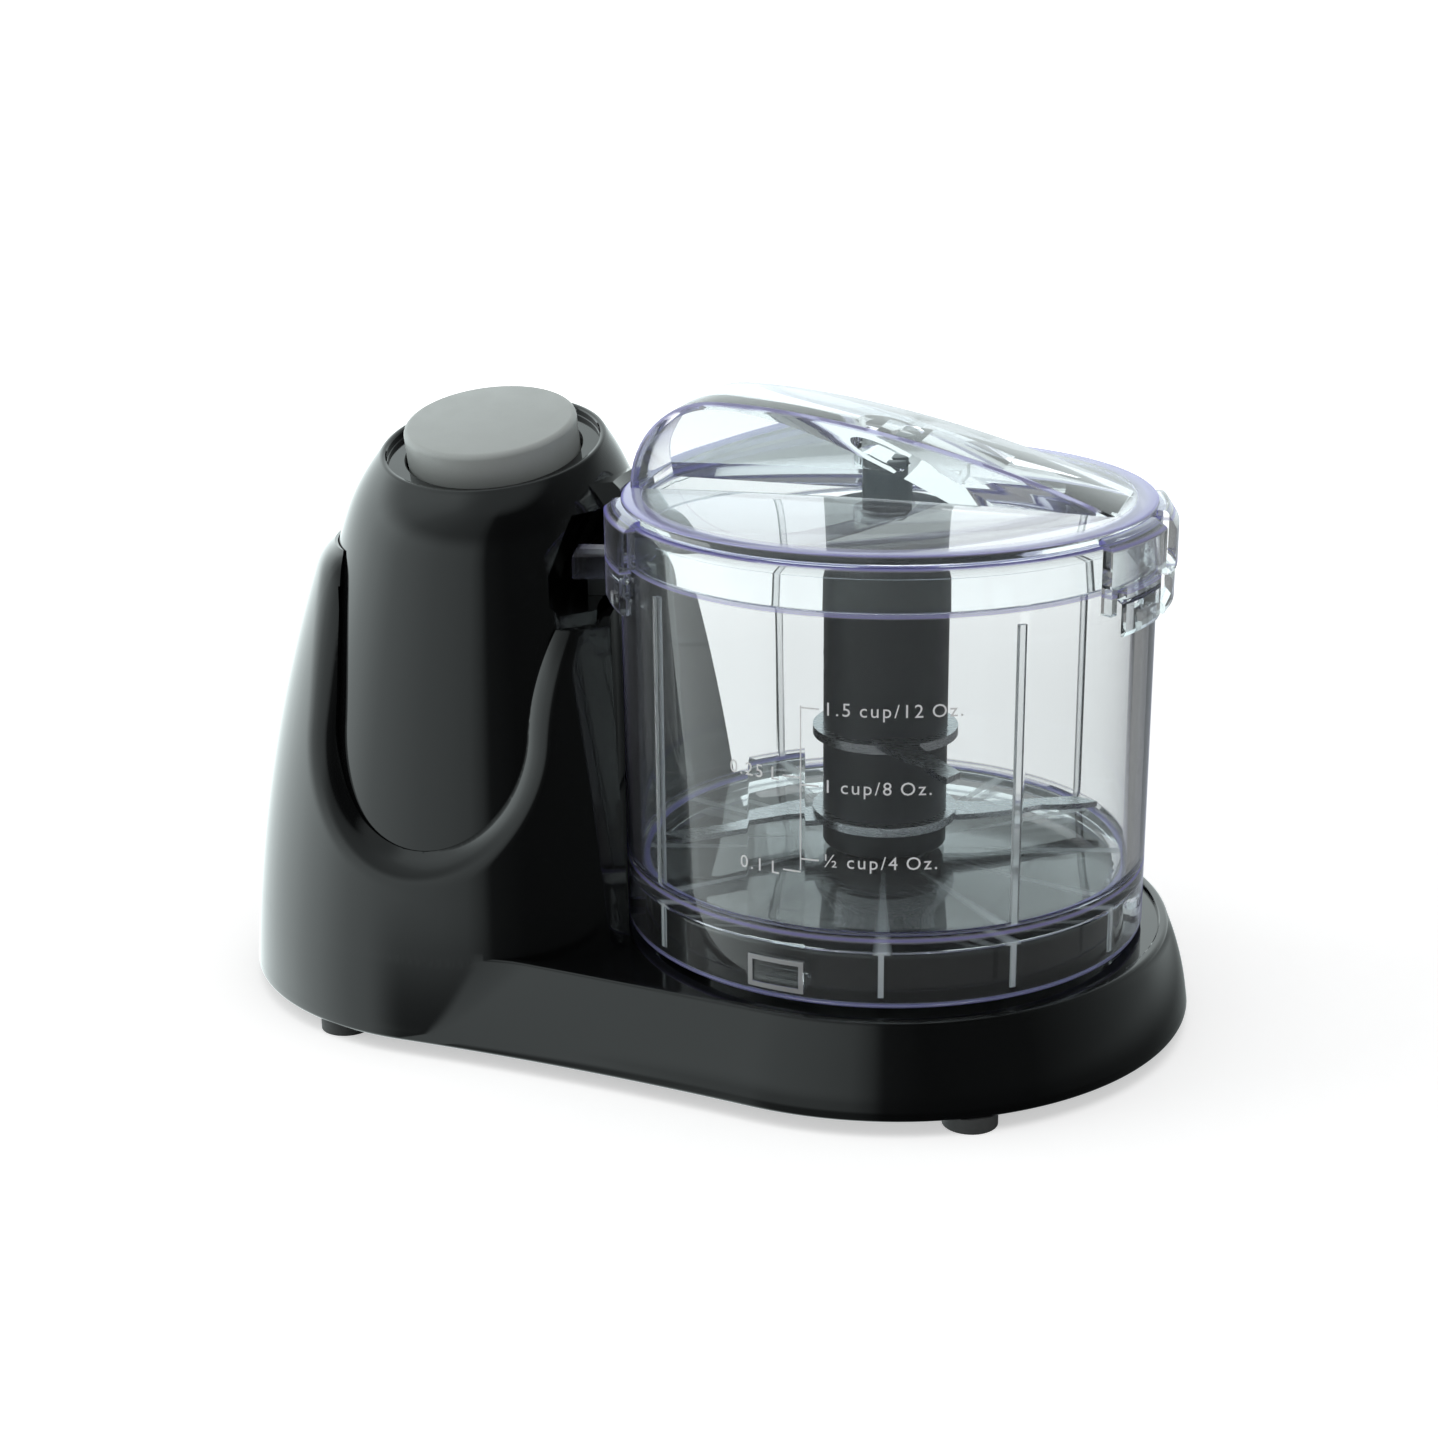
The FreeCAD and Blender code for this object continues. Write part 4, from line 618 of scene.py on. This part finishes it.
# The plastic's own pale tint, turned dark grey-violet by the painted shade share.
body = clear.mix(painted_shade, (0.90, 0.925, 0.93, 1), (0.2, 0.2, 0.26, 1))
# Violet colour as a painted highlight at grazing angles and in the marked violet spots.
clear.set(Base_Color=clear.mix(edge.maths("MAXIMUM", painted_violet_highlight), body, (0.45, 0.4, 1.0, 1)))
# A hazy shader that shows a faint real haze and mostly carries the painted glints and highlights.
haze_and_painted_glint = clear.node("BsdfPrincipled", None, Roughness=0.35)
haze_and_painted_glint_shader = haze_and_painted_glint.socket.node
height = clear.node("SeparateXYZ", None, clear.place(), out="Z")
offset = clear.node("VectorMath", {"operation": "SUBTRACT"}, clear.place(), (BOWL_X * MM, 0, 0))
offset = clear.node("VectorMath", {"operation": "MULTIPLY"}, offset, (1, 1, 0))
offset = clear.node("VectorMath", {"operation": "LENGTH"}, offset, out="Value")
# Painted violet highlight lines along the lid's and bowl's rims and edges, at these heights, out
# from a radius of about 50 mm.
edges = ((0.1122, 0.0005), (0.1099, 0.0007), (0.1007, 0.0005), (0.0365, 0.0009), (0.0225, 0.0006))
painted_rim_lines = sum(height.near(level, reach) for level, reach in edges) * offset.band(0.0497, 0.0503)
# The colour of the painted glints and highlights: pale grey, turning violet along edges and rims.
painted_glint_colour = clear.mix(
    (edge + painted_rim_lines * 0.8 + painted_violet_highlight).maths("MINIMUM", 1.0),
    (0.86, 0.88, 0.90, 1),
    (0.30, 0.27, 0.82, 1),
)
clear.feed(haze_and_painted_glint_shader.inputs["Base Color"], painted_glint_colour)
# How much the hazy shader shows: a faint real haze, plus the painted highlights, rim lines and
# glints.
share = (0.01 + edge * 0.5 + painted_rim_lines * 0.55 + painted_glint + painted_violet_highlight).maths("MINIMUM", 0.75)
clear.surface(clear.node("MixShader", None, share, Wire(clear, clear.shader.outputs[0]), haze_and_painted_glint))


def paint_light_and_shade(piece, zones):
    """Paint light and shade into the plastic, by zones and along the fin's bevelled edges.

    A zone has its radii, heights, middle angle and reach, then its shares of painted glint (pale),
    painted violet highlight and painted shade (dark).
    """
    painted_shares = piece.data.attributes.new("caught", "FLOAT_VECTOR", "POINT")
    for vertex in piece.data.vertices:
        x, y, z = (part / MM for part in vertex.co)
        radius, angle = math.hypot(x - BOWL_X, y), math.degrees(math.atan2(y, x - BOWL_X))
        for inside, outside, low, high, middle, reach, *strength in zones:
            aside = abs((angle - middle + 180) % 360 - 180)
            if inside < radius < outside and low < z < high and aside < reach:
                painted_shares.data[vertex.index].vector = strength
        # Painted violet highlight along the fin's bevelled top edges.
        if z > 113.6 and 11.25 < abs(y) < 12.27:
            painted_shares.data[vertex.index].vector = (0, 0.6, 0)


def upright(name, radius, width, low, high, angle, depth):
    """An upright rib that stands inwards from a radius, at an angle round the bowl."""
    rib = block(name, (radius - depth, -width / 2, low), (radius + 0.6, width / 2, high))
    return stand(rib, (BOWL_X, 0, 0), angle, "Z")


bowl_outline = [
    (WALL, 22.3, 0.5), (WALL, 108.0, 0.15), (55.1, 108.0, 0.15), (55.1, 109.9, 0.4),
    (INSIDE, 109.9, 0.4), (INSIDE, FLOOR, 2.2), (8.2, FLOOR, 1.0), (8.2, 91, 0.4), (6.3, 91, 0.3),
    (6.3, 33.4, 0.3), (INSIDE, 33.4, 1.2), (INSIDE, 22.3, 0.4),
]
bowl = turning("clear_bowl", rounded(bowl_outline), step=1.5)
ear = [(53.7, 90.5), (56.7, 90.5, 0.4), (58.1, 92.9, 0.4), (58.1, 97.8, 0.3), (57.3, 98.6, 0.3)]
ear += [(53.7, 98.6)]
hook_lug = rounded([(53.7, 95.6), (56.5, 95.6, 0.3), (56.5, 97.8, 0.3), (53.7, 98.8)])
loop = [(53.3, 24.2), (55.15, 24.2), (55.15, 30.8), (53.3, 30.8)]
loop_inside = [(53.0, 25.1), (56.7, 25.1), (56.7, 29.9), (53.0, 29.9)]
lock_loop = sector("lock_loop", loop, -104.15, 12.3)
shape(lock_loop, "DIFFERENCE", [sector("inside", loop_inside, -103.15, 10.3)])
joins = []
zones = []
for angle in (47, -47, 133, 227):
    joins.append(upright("rib", INSIDE, 1.5, 35.9, 97.5, angle, 1.0))
    # Painted glint down each inner rib.
    zones.append((51, 52, 36, 98, angle, 1.5, 0.35, 0, 0))
for angle in (-17, -47, -76, -132, -162, 163, 133, 72, 43, 12):
    joins.append(upright("skirt_rib", INSIDE, 1.1, 23.9, 33.9, angle, 0.6))
    # Painted glint down each skirt rib.
    zones.append((51, 52, 23, 34, angle, 1.5, 0.7, 0, 0))
bowl_lug = [(49.2, 24.9), (53.3, 24.9), (53.3, 27.4), (49.2, 27.4)]
joins += [sector("bowl_lug", bowl_lug, -104.1 + turn, 12.2) for turn in (0, 120, 240)]
joins += [sector("hook_lug", hook_lug, -16 + turn, 6) for turn in HOOK_TURNS]
joins += [lock_loop, sector("ear", rounded(ear), 0.5, 19)]
shape(bowl, "UNION", joins)
dress(bowl, clear, "bowl", "bowl", 22.0)
# Painted highlight on the lock loop.
zones.append((54.8, 56, 23, 32, -98, 8, 0.4, 0, 0))
paint_light_and_shade(bowl, zones)

# Lid.
# The same clear plastic: a crowned plate with a skirt that plugs the bowl, a hollow raised fin
# to grip, an ear over the bowl's ear, three hook arms and the tab that reaches into the tower.
PLATE = 110.0
PLATE_EDGE = 54.4
PLATE_TOP = 112.3
CROWNING = 1.1
FIN_HALF = 12.3
lid_outline = [
    (0, PLATE), (50.4, PLATE, 0.5), (50.4, 100.7, 0.3), (51.9, 100.7, 0.3), (51.9, PLATE),
    (PLATE_EDGE, PLATE, 0.3), (PLATE_EDGE, PLATE_TOP, 0.7),
]
for step in range(1, 23):
    radius = PLATE_EDGE - 2.4 * step
    lid_outline.append((radius, PLATE_TOP + CROWNING * (1 - (radius / PLATE_EDGE) ** 2)))
lid_outline.append((0, PLATE_TOP + CROWNING))
lid = turning("clear_lid", rounded(lid_outline), step=1.5)


def fin_side(inset, foot, back):
    """The fin's side view: a round nose, a long falling top and a bowed back."""
    nose = arc((6.2, 112.7), 18.3 - inset, math.pi, math.pi / 2, 16)
    nose.append((6.2, 131.0 - inset))
    first, last = Vector(nose[-1]), Vector((back, foot + inset * 0.2))
    pull, push = first + Vector((22, 0)), last + Vector((-25.3, 11.7 - 0.5 * inset))
    top = []
    for step in range(1, 41):
        t = step / 40
        curve = first * (1 - t) ** 3 + pull * (3 * t * (1 - t) ** 2)
        curve += push * (3 * t * t * (1 - t)) + last * t**3
        top.append((curve.x, curve.y))
    return [(nose[0][0], foot)] + nose + top


fin = slab("fin", fin_side(0.0, 110.9, 91.3), -FIN_HALF, FIN_HALF, True)
fin_bevel = fin.modifiers.new("edge", "BEVEL")
fin_bevel.width = 1.1 * MM
fin_bevel.use_clamp_overlap = False
fin_bevel.segments = 3
fin_bevel.limit_method = "ANGLE"
fin_bevel.angle_limit = math.radians(50)
shape(fin, "UNION", [])
lid_ear = [
    (53.4, 110.3), (55.5, 110.3), (55.5, 98.9), (57.7, 98.9), (58.5, 99.8), (58.5, 108.1, 0.8),
    (56.4, 111.5, 0.8), (53.4, 111.7),
]
band = [
    (53.4, 110.3), (55.5, 110.3), (55.5, 102), (57.9, 102), (57.9, 109.7, 0.8),
    (55.6, 111.5, 0.8), (53.4, 111.7),
]
bar = [(55.5, 97), (57.9, 97), (57.9, 103), (55.5, 103)]
hook = [(55.5, 92), (57.4, 92), (57.9, 93), (57.9, 103), (55.5, 103)]
pocket = [(54.7, 95.3), (56.8, 95.3), (56.8, 98.3), (54.7, 99.5)]
mouth = [(54.7, 91), (56.8, 91), (56.8, 96.6), (54.7, 96.6)]
arms = []
for turn in HOOK_TURNS:
    arm = sector("arm", rounded(band), turn - 29, 23)
    added = [sector("bar", bar, turn - 29, 1.8), sector("hook", hook, turn - 24, 15)]
    shape(arm, "UNION", added)
    cut = [sector("pocket", pocket, turn - 25, 17), sector("mouth", mouth, turn - 25, 8)]
    shape(arm, "DIFFERENCE", cut)
    arms.append(arm)
tab = [(55.5, 94.5, 0.3), (64.7, 94.5, 0.5), (64.7, 99.2, 0.5), (55.5, 99.2, 0.3)]
neck = [(55.5, 94.5), (57.9, 94.5), (57.9, 104), (55.5, 104)]
joins = [fin, sector("ear", rounded(lid_ear), 0.5, 19), sector("tab", rounded(tab), 189, 10)]
joins += [sector("neck", neck, 198, 3.6)]
shape(lid, "UNION", joins + arms)
cavity = slab("cavity", fin_side(1.8, 99.0, 83.3), -10.5, 10.5, True)
guard = [(50.4, 90), (60, 90), (60, PLATE), (50.4, PLATE)]
shape(cavity, "DIFFERENCE", [turning("guard", guard)])
shape(lid, "DIFFERENCE", [cavity])
boss_outline = [(5.5, 117.9), (6.9, 117.9), (6.9, 128), (0, 128), (0, 121.0), (5.5, 121.0)]
boss = turning("boss", boss_outline)
shape(boss, "INTERSECT", [slab("under", fin_side(0.6, 112.0, 90.0), -12, 12, True)])
shape(lid, "UNION", [boss])
dress(lid, clear, "lid", "lid", 22.0)
# Painted shade on the lid's tab, where it reaches into the tower's slot.
paint_light_and_shade(lid, [(56.5, 66, 94, 100, 194, 9, 0, 0, 1)])

# Volume marks.
# Thin white print on the bowl's front: an upright line, two ticks in litres at its left and
# three in cups and ounces at its right.
white = Finish("white_print", Roughness=0.45)
white.set(Base_Color=white.mix(white.noise(0.001), (0.86, 0.87, 0.88, 1), (0.92, 0.92, 0.93, 1)))
LINE = -92.5
marks = []


def bar_at(left, right, low, high):
    """A printed bar, given by arc lengths from the upright line and by heights."""
    start, stop = (LINE + math.degrees(reach / WALL) for reach in (left, right))
    near, far = WALL + 0.02, WALL + 0.08
    outline = [(near, low), (far, low), (far, high), (near, high)]
    return turning("bar", outline, BOWL_X, start, stop - start, 1.0)


def words_at(text, size, left, height, right_aligned=False):
    """Printed words wrapped round the bowl, from an arc length and a middle height."""
    letters = bpy.data.curves.new("words", "FONT")
    letters.body = text
    letters.size = size * MM
    letters.extrude = 0.03 * MM
    letters.resolution_u = 3
    letters.space_character = 1.22
    letters.space_word = 0.6
    letters.align_x = "RIGHT" if right_aligned else "LEFT"
    letters.align_y = "CENTER"
    flat = bpy.data.objects.new("words", letters)
    scene.collection.objects.link(flat)
    bpy.context.view_layer.update()
    mesh = bpy.data.meshes.new_from_object(
        flat.evaluated_get(bpy.context.evaluated_depsgraph_get())
    )
    bpy.data.objects.remove(flat)
    face = (WALL + 0.05) * MM
    for vertex in mesh.vertices:
        x, y, depth = vertex.co
        angle = math.radians(LINE) + (left * MM + x) / face
        radius = face + depth
        x = BOWL_X * MM + radius * math.cos(angle)
        vertex.co = (x, radius * math.sin(angle), height * MM + y)
    piece = bpy.data.objects.new("words", mesh)
    scene.collection.objects.link(piece)
    return piece


TICK = 3.6
TEXT_SIZE = 3.7
TEXT_START = 4.4
marks.append(bar_at(-0.12, 0.12, 50.0, 83.0))
for level, text in ((82.6, "1.5 cup/12 Oz."), (67.3, "1 cup/8 Oz."), (52.3, "½ cup/4 Oz.")):
    marks.append(bar_at(0.0, TICK, level - 0.15, level + 0.15))
    marks.append(words_at(text, TEXT_SIZE, TEXT_START, level))
for level, text in ((68.7, "0.25 L"), (49.6, "0.1 L")):
    marks.append(bar_at(-TICK, 0.0, level - 0.15, level + 0.15))
    marks.append(words_at(text, TEXT_SIZE, -TEXT_START, level, True))
work = bmesh.new()
for mark in marks:
    work.from_mesh(mark.data)
    bpy.data.objects.remove(mark)
print_mesh = bpy.data.meshes.new("volume_marks")
bmesh.ops.remove_doubles(work, verts=work.verts, dist=1e-7)
bmesh.ops.recalc_face_normals(work, faces=work.faces)
work.to_mesh(print_mesh)
work.free()
print_mesh.materials.append(white.material)
volume_marks = bpy.data.objects.new("volume_marks", print_mesh)
scene.collection.objects.link(volume_marks)
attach(volume_marks, "bowl")

# Blade hub.
# A satin black sleeve over the bowl's tube. A thinner stub with a driver notch rises from its
# top into the lid's boss.
satin = Finish("satin_black")
# Painted highlight: the stub above the sleeve is coloured lighter, for the light that reaches it
# through the lid.
stub_painted_light = satin.node("SeparateXYZ", None, satin.place(), out="Z").band(0.1092, 0.1096)
satin.set(Base_Color=satin.mix(stub_painted_light, (0.013, 0.015, 0.017, 1), (0.10, 0.12, 0.13, 1)))
satin.set(Roughness=satin.noise(0.006).band(0.3, 0.7, 0.36, 0.46))
satin.bumps(satin.noise(0.0004, 2.0), 0.000004)
hub_outline = [
    (8.8, 37.4, 0.2), (13, 37.4, 0.4), (13, 109.4, 0.5), (5.1, 109.4, 0.3), (5.1, 119.5, 0.3),
    (0, 119.5), (0, 92), (8.8, 92),
]
hub = turning("hub_skin", rounded(hub_outline))
socket = []
for corner in range(6):
    angle = math.radians(60 * corner)
    socket.append((BOWL_X + 5.38 * math.cos(angle), 5.38 * math.sin(angle)))
notch = block("notch", (BOWL_X - 6.1, -1.2, 117.9), (BOWL_X + 6.1, 1.2, 121))
shape(hub, "DIFFERENCE", [slab("socket", socket, 88, 103.4), notch])
dress(hub, satin, "spindle", "blade_hub")

# Blades and the other metal pieces.
# The blades are ground from stainless steel strip, with the grain along their length. The can,
# shafts and sleeve are turned.
steel = Finish("blade_steel", Metallic=1.0)
streaks = steel.noise(0.0008, 3.0, (0.15, 1, 6))
steel.set(Base_Color=steel.mix(streaks, (0.42, 0.43, 0.45, 1), (0.52, 0.53, 0.55, 1)))
steel.set(Roughness=streaks.band(0.3, 0.7, 0.2, 0.34))
for name in ("lower_blade", "upper_blade"):
    dress(copy_of(name, name + "_ground"), steel, "spindle", name)
plain = Finish("plain_steel", Metallic=1.0)
rings_cut = plain.noise(0.0006, 2.0, (0.2, 0.2, 8))
plain.set(Base_Color=plain.mix(rings_cut, (0.44, 0.44, 0.46, 1), (0.54, 0.54, 0.56, 1)))
plain.set(Roughness=rings_cut.band(0.3, 0.7, 0.26, 0.42))
bronze = Finish("bronze", Metallic=1.0)
pores = bronze.noise(0.0003, 2.0)
bronze.set(Base_Color=bronze.mix(pores, (0.42, 0.27, 0.13, 1), (0.56, 0.38, 0.19, 1)))
bronze.set(Roughness=pores.band(0.3, 0.7, 0.38, 0.55))

# Rubber feet, belt and gland, and the circuit board.
# The feet are grey rubber pads, the belt and gland black rubber. The board is green resin with
# a dark capacitor.
pad = Finish("grey_rubber", Roughness=0.75)
dust = pad.noise(0.0009, 3.0)
pad.set(Base_Color=pad.mix(dust, (0.055, 0.058, 0.058, 1), (0.075, 0.078, 0.078, 1)))
pad.bumps(dust, 0.00003)
rubber = Finish("black_rubber", Roughness=0.7)
dust = rubber.noise(0.0009, 3.0)
rubber.set(Base_Color=rubber.mix(dust, (0.012, 0.012, 0.013, 1), (0.022, 0.022, 0.023, 1)))
rubber.bumps(dust, 0.00003)
resin = Finish("board", Roughness=0.35)
weave = resin.noise(0.0007, 2.0, (3, 1, 1))
resin.set(Base_Color=resin.mix(weave, (0.02, 0.10, 0.04, 1), (0.03, 0.14, 0.06, 1)))
finishes = {
    "plain_steel": plain,
    "bronze": bronze,
    "grey_rubber": pad,
    "black_rubber": rubber,
    "board": resin,
    "satin_black": satin,
}
for row in frame["record"]["subparts"]:
    if row["material_slot"] in finishes and row["node"] != "blade_hub":
        node = nodes[row["node"]]
        node.data.materials.clear()
        node.data.materials.append(finishes[row["material_slot"]].material)

# Screws in the bottom plate.
# Six small pan-head steel screws with a cross recess, driven up into the base's posts.
head = turning("head", rounded([(0, 2.5), (2.6, 2.5, 0.6), (2.6, 3.1), (0, 3.1)]), 0, step=20.0)
recess = [block("cross", (-x, -y, 2.0), (x, y, 2.9)) for x, y in ((1.5, 0.35), (0.35, 1.5))]
shape(head, "DIFFERENCE", recess)
spot_mesh = bpy.data.meshes.new("screw_spots")
spot_mesh.from_pydata([(x * MM, y * MM, 0) for x, y in spots], [], [])
screws = bpy.data.objects.new("plate_screws", spot_mesh)
scene.collection.objects.link(screws)
repeat = bpy.data.node_groups.new("repeat_on_spots", "GeometryNodeTree")
kinds = {"Spots": "Geometry", "Piece": "Object", "Turn": "Float", "Finish": "Material"}
for label, kind in kinds.items():
    repeat.interface.new_socket(label, in_out="INPUT", socket_type="NodeSocket" + kind)
repeat.interface.new_socket("Result", in_out="OUTPUT", socket_type="NodeSocketGeometry")
ins, outs = repeat.nodes.new("NodeGroupInput"), repeat.nodes.new("NodeGroupOutput")
info = repeat.nodes.new("GeometryNodeObjectInfo")
placed = repeat.nodes.new("GeometryNodeInstanceOnPoints")
order = repeat.nodes.new("GeometryNodeInputIndex")
times = repeat.nodes.new("ShaderNodeMath")
times.operation = "MULTIPLY"
angles = repeat.nodes.new("ShaderNodeCombineXYZ")
real = repeat.nodes.new("GeometryNodeRealizeInstances")
paint = repeat.nodes.new("GeometryNodeSetMaterial")
for source, target in (
    (ins.outputs["Spots"], placed.inputs["Points"]),
    (ins.outputs["Piece"], info.inputs["Object"]),
    (info.outputs["Geometry"], placed.inputs["Instance"]),
    (order.outputs[0], times.inputs[0]),
    (ins.outputs["Turn"], times.inputs[1]),
    (times.outputs[0], angles.inputs["Z"]),
    (angles.outputs[0], placed.inputs["Rotation"]),
    (placed.outputs[0], real.inputs[0]),
    (real.outputs[0], paint.inputs["Geometry"]),
    (ins.outputs["Finish"], paint.inputs["Material"]),
    (paint.outputs[0], outs.inputs["Result"]),
):
    repeat.links.new(source, target)
change = screws.modifiers.new("repeat", "NODES")
change.node_group = repeat
settings = {"Piece": head, "Turn": 0.7, "Finish": plain.material}
for item in repeat.interface.items_tree:
    if item.in_out == "INPUT" and item.name in settings:
        change[item.identifier] = settings[item.name]
shape(screws, "UNION", [])
bpy.data.objects.remove(head)
smooth(screws, 40.0)
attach(screws, "base")

# Studio: a wide pale floor under the part. It glows more with distance, so it stays white around
# the part's soft shadow.
floor = block("floor", (-9000, -9000, -1), (9000, 9000, 0))
paper = Finish("paper", Roughness=0.9, Specular_IOR_Level=0.0)
turned = paper.node("LightPath", out="Glossy Depth").maths("MINIMUM", 1.0)
through = paper.node("LightPath", out="Is Transmission Ray")
seen = paper.node("LightPath", out="Is Camera Ray").maths("MAXIMUM", through * (1.0 - turned))
shade = paper.mix(through * turned, (0.86, 0.86, 0.86, 1), (0.45, 0.45, 0.45, 1))
paper.set(Base_Color=shade)
away = paper.node("VectorMath", {"operation": "LENGTH"}, paper.place(), out="Value")
glow = paper.node("Emission", None, (1, 1, 1, 1), seen * away.band(0.2, 0.6, 0.5, 1.0))
paper.surface(paper.node("AddShader", None, Wire(paper, paper.shader.outputs[0]), glow))
floor.data.materials.append(paper.material)
floor.visible_glossy = False

# Surround: white where it is seen straight, pale through the plastic. What the gloss reflects is
# brightest at the left, fades round the front to near black at the front right, and grows again
# towards the back.
world = bpy.data.worlds.new("surround")
scene.world = world
world.use_nodes = True
air = Graph(world.node_tree)
way = air.node("TexCoord", out="Generated")
north = air.node("SeparateXYZ", None, way, out="Y")
east = air.node("SeparateXYZ", None, way, out="X")
up = air.node("SeparateXYZ", None, way, out="Z")
bearing = north.maths("ARCTAN2", east) * (0.5 / math.pi) + 0.5
round_levels = [(-180, 2.5), (-161, 2.2), (-144, 1.6), (-113, 1.1), (-97, 0.95), (-86, 0.8)]
round_levels += [(-79, 0.45), (-75, 0.1), (-60, 0.04), (-20, 0.06), (5, 0.22), (40, 0.5)]
round_levels += [(62, 0.9), (95, 1.6), (135, 2.2), (180, 2.5)]
stops = [((angle + 180) / 360, level / 4) for angle, level in round_levels]
around = air.node("ValToRGB", {"stops": stops}, bearing) * 4.0
under = bearing.band(0.125, 0.18, 0.85, 0.2).maths("MAXIMUM", bearing.band(0.74, 0.8, 0.2, 0.85))
around = around * up.band(-0.3, -0.08, under, 1.0) * up.band(0.45, 0.75, 1.0, 0.45)
above = up.band(0.93, 0.995)
level = around * (1.0 - above) + above * 0.5
direct = air.node("LightPath", out="Is Camera Ray")
through = air.node("LightPath", out="Is Transmission Ray")
turned = air.node("LightPath", out="Glossy Depth").maths("MINIMUM", 1.0)
mirror = air.node("LightPath", out="Is Glossy Ray").maths("MAXIMUM", through * turned)
straight = through * (1.0 - turned)
soft = (1.0 - mirror) * (1.0 - straight) * 0.35
seen_through = straight * north.band(-0.1, 0.35, 0.4, 1.0)
level = level * (1.0 - through * 0.6) + through * 0.6
strength = (level * mirror + seen_through + soft) * (1.0 - direct) + direct
air.feed(world.node_tree.nodes["Background"].inputs["Strength"], strength)
tone = air.node("CombineColor", None, Red=1.0 - mirror * 0.1, Green=1.0, Blue=1.0)
air.feed(world.node_tree.nodes["Background"].inputs["Color"], tone)

# Lamps: two large soft boxes, one at the left and one overhead. They light the matt surfaces and
# are left out of reflections.


def soft_box(name, place, width, height, power, colour=(1, 1, 1)):
    """A rectangular lamp, sized in metres, that faces the part's middle."""
    light = bpy.data.lights.new(name, "AREA")
    light.shape = "RECTANGLE"
    light.size = width
    light.size_y = height
    light.energy = power
    light.color = colour
    lamp = bpy.data.objects.new(name, light)
    lamp.location = place
    lamp.rotation_euler = (Vector((0, 0, 0.05)) - Vector(place)).to_track_quat("-Z", "Y").to_euler()
    lamp.visible_glossy = False
    scene.collection.objects.link(lamp)


soft_box("left_box", (-1.1, -0.30, 0.6), 0.9, 1.1, 4.0, (0.95, 1.0, 0.99))
soft_box("top_box", (0.1, -0.1, 1.3), 1.1, 1.1, 5.0)

# Camera, at the photograph's place, with a narrow lens and a slight roll.
camera = bpy.data.objects.new("camera", bpy.data.cameras.new("camera"))
scene.collection.objects.link(camera)
scene.camera = camera
camera.data.sensor_width = 36.0
camera.data.lens = 36.0 * 2405.0 / 1438.0
camera.location = (0.15836, -0.46544, 0.22044)
look = (Vector((0.00272, 0.0, 0.05998)) - camera.location).to_track_quat("-Z", "Y")
camera.rotation_mode = "QUATERNION"
camera.rotation_quaternion = look @ Matrix.Rotation(-0.0109, 4, "Z").to_quaternion()
camera.data.clip_start = 0.01
camera.data.clip_end = 60.0
scene.view_settings.view_transform = "Standard"
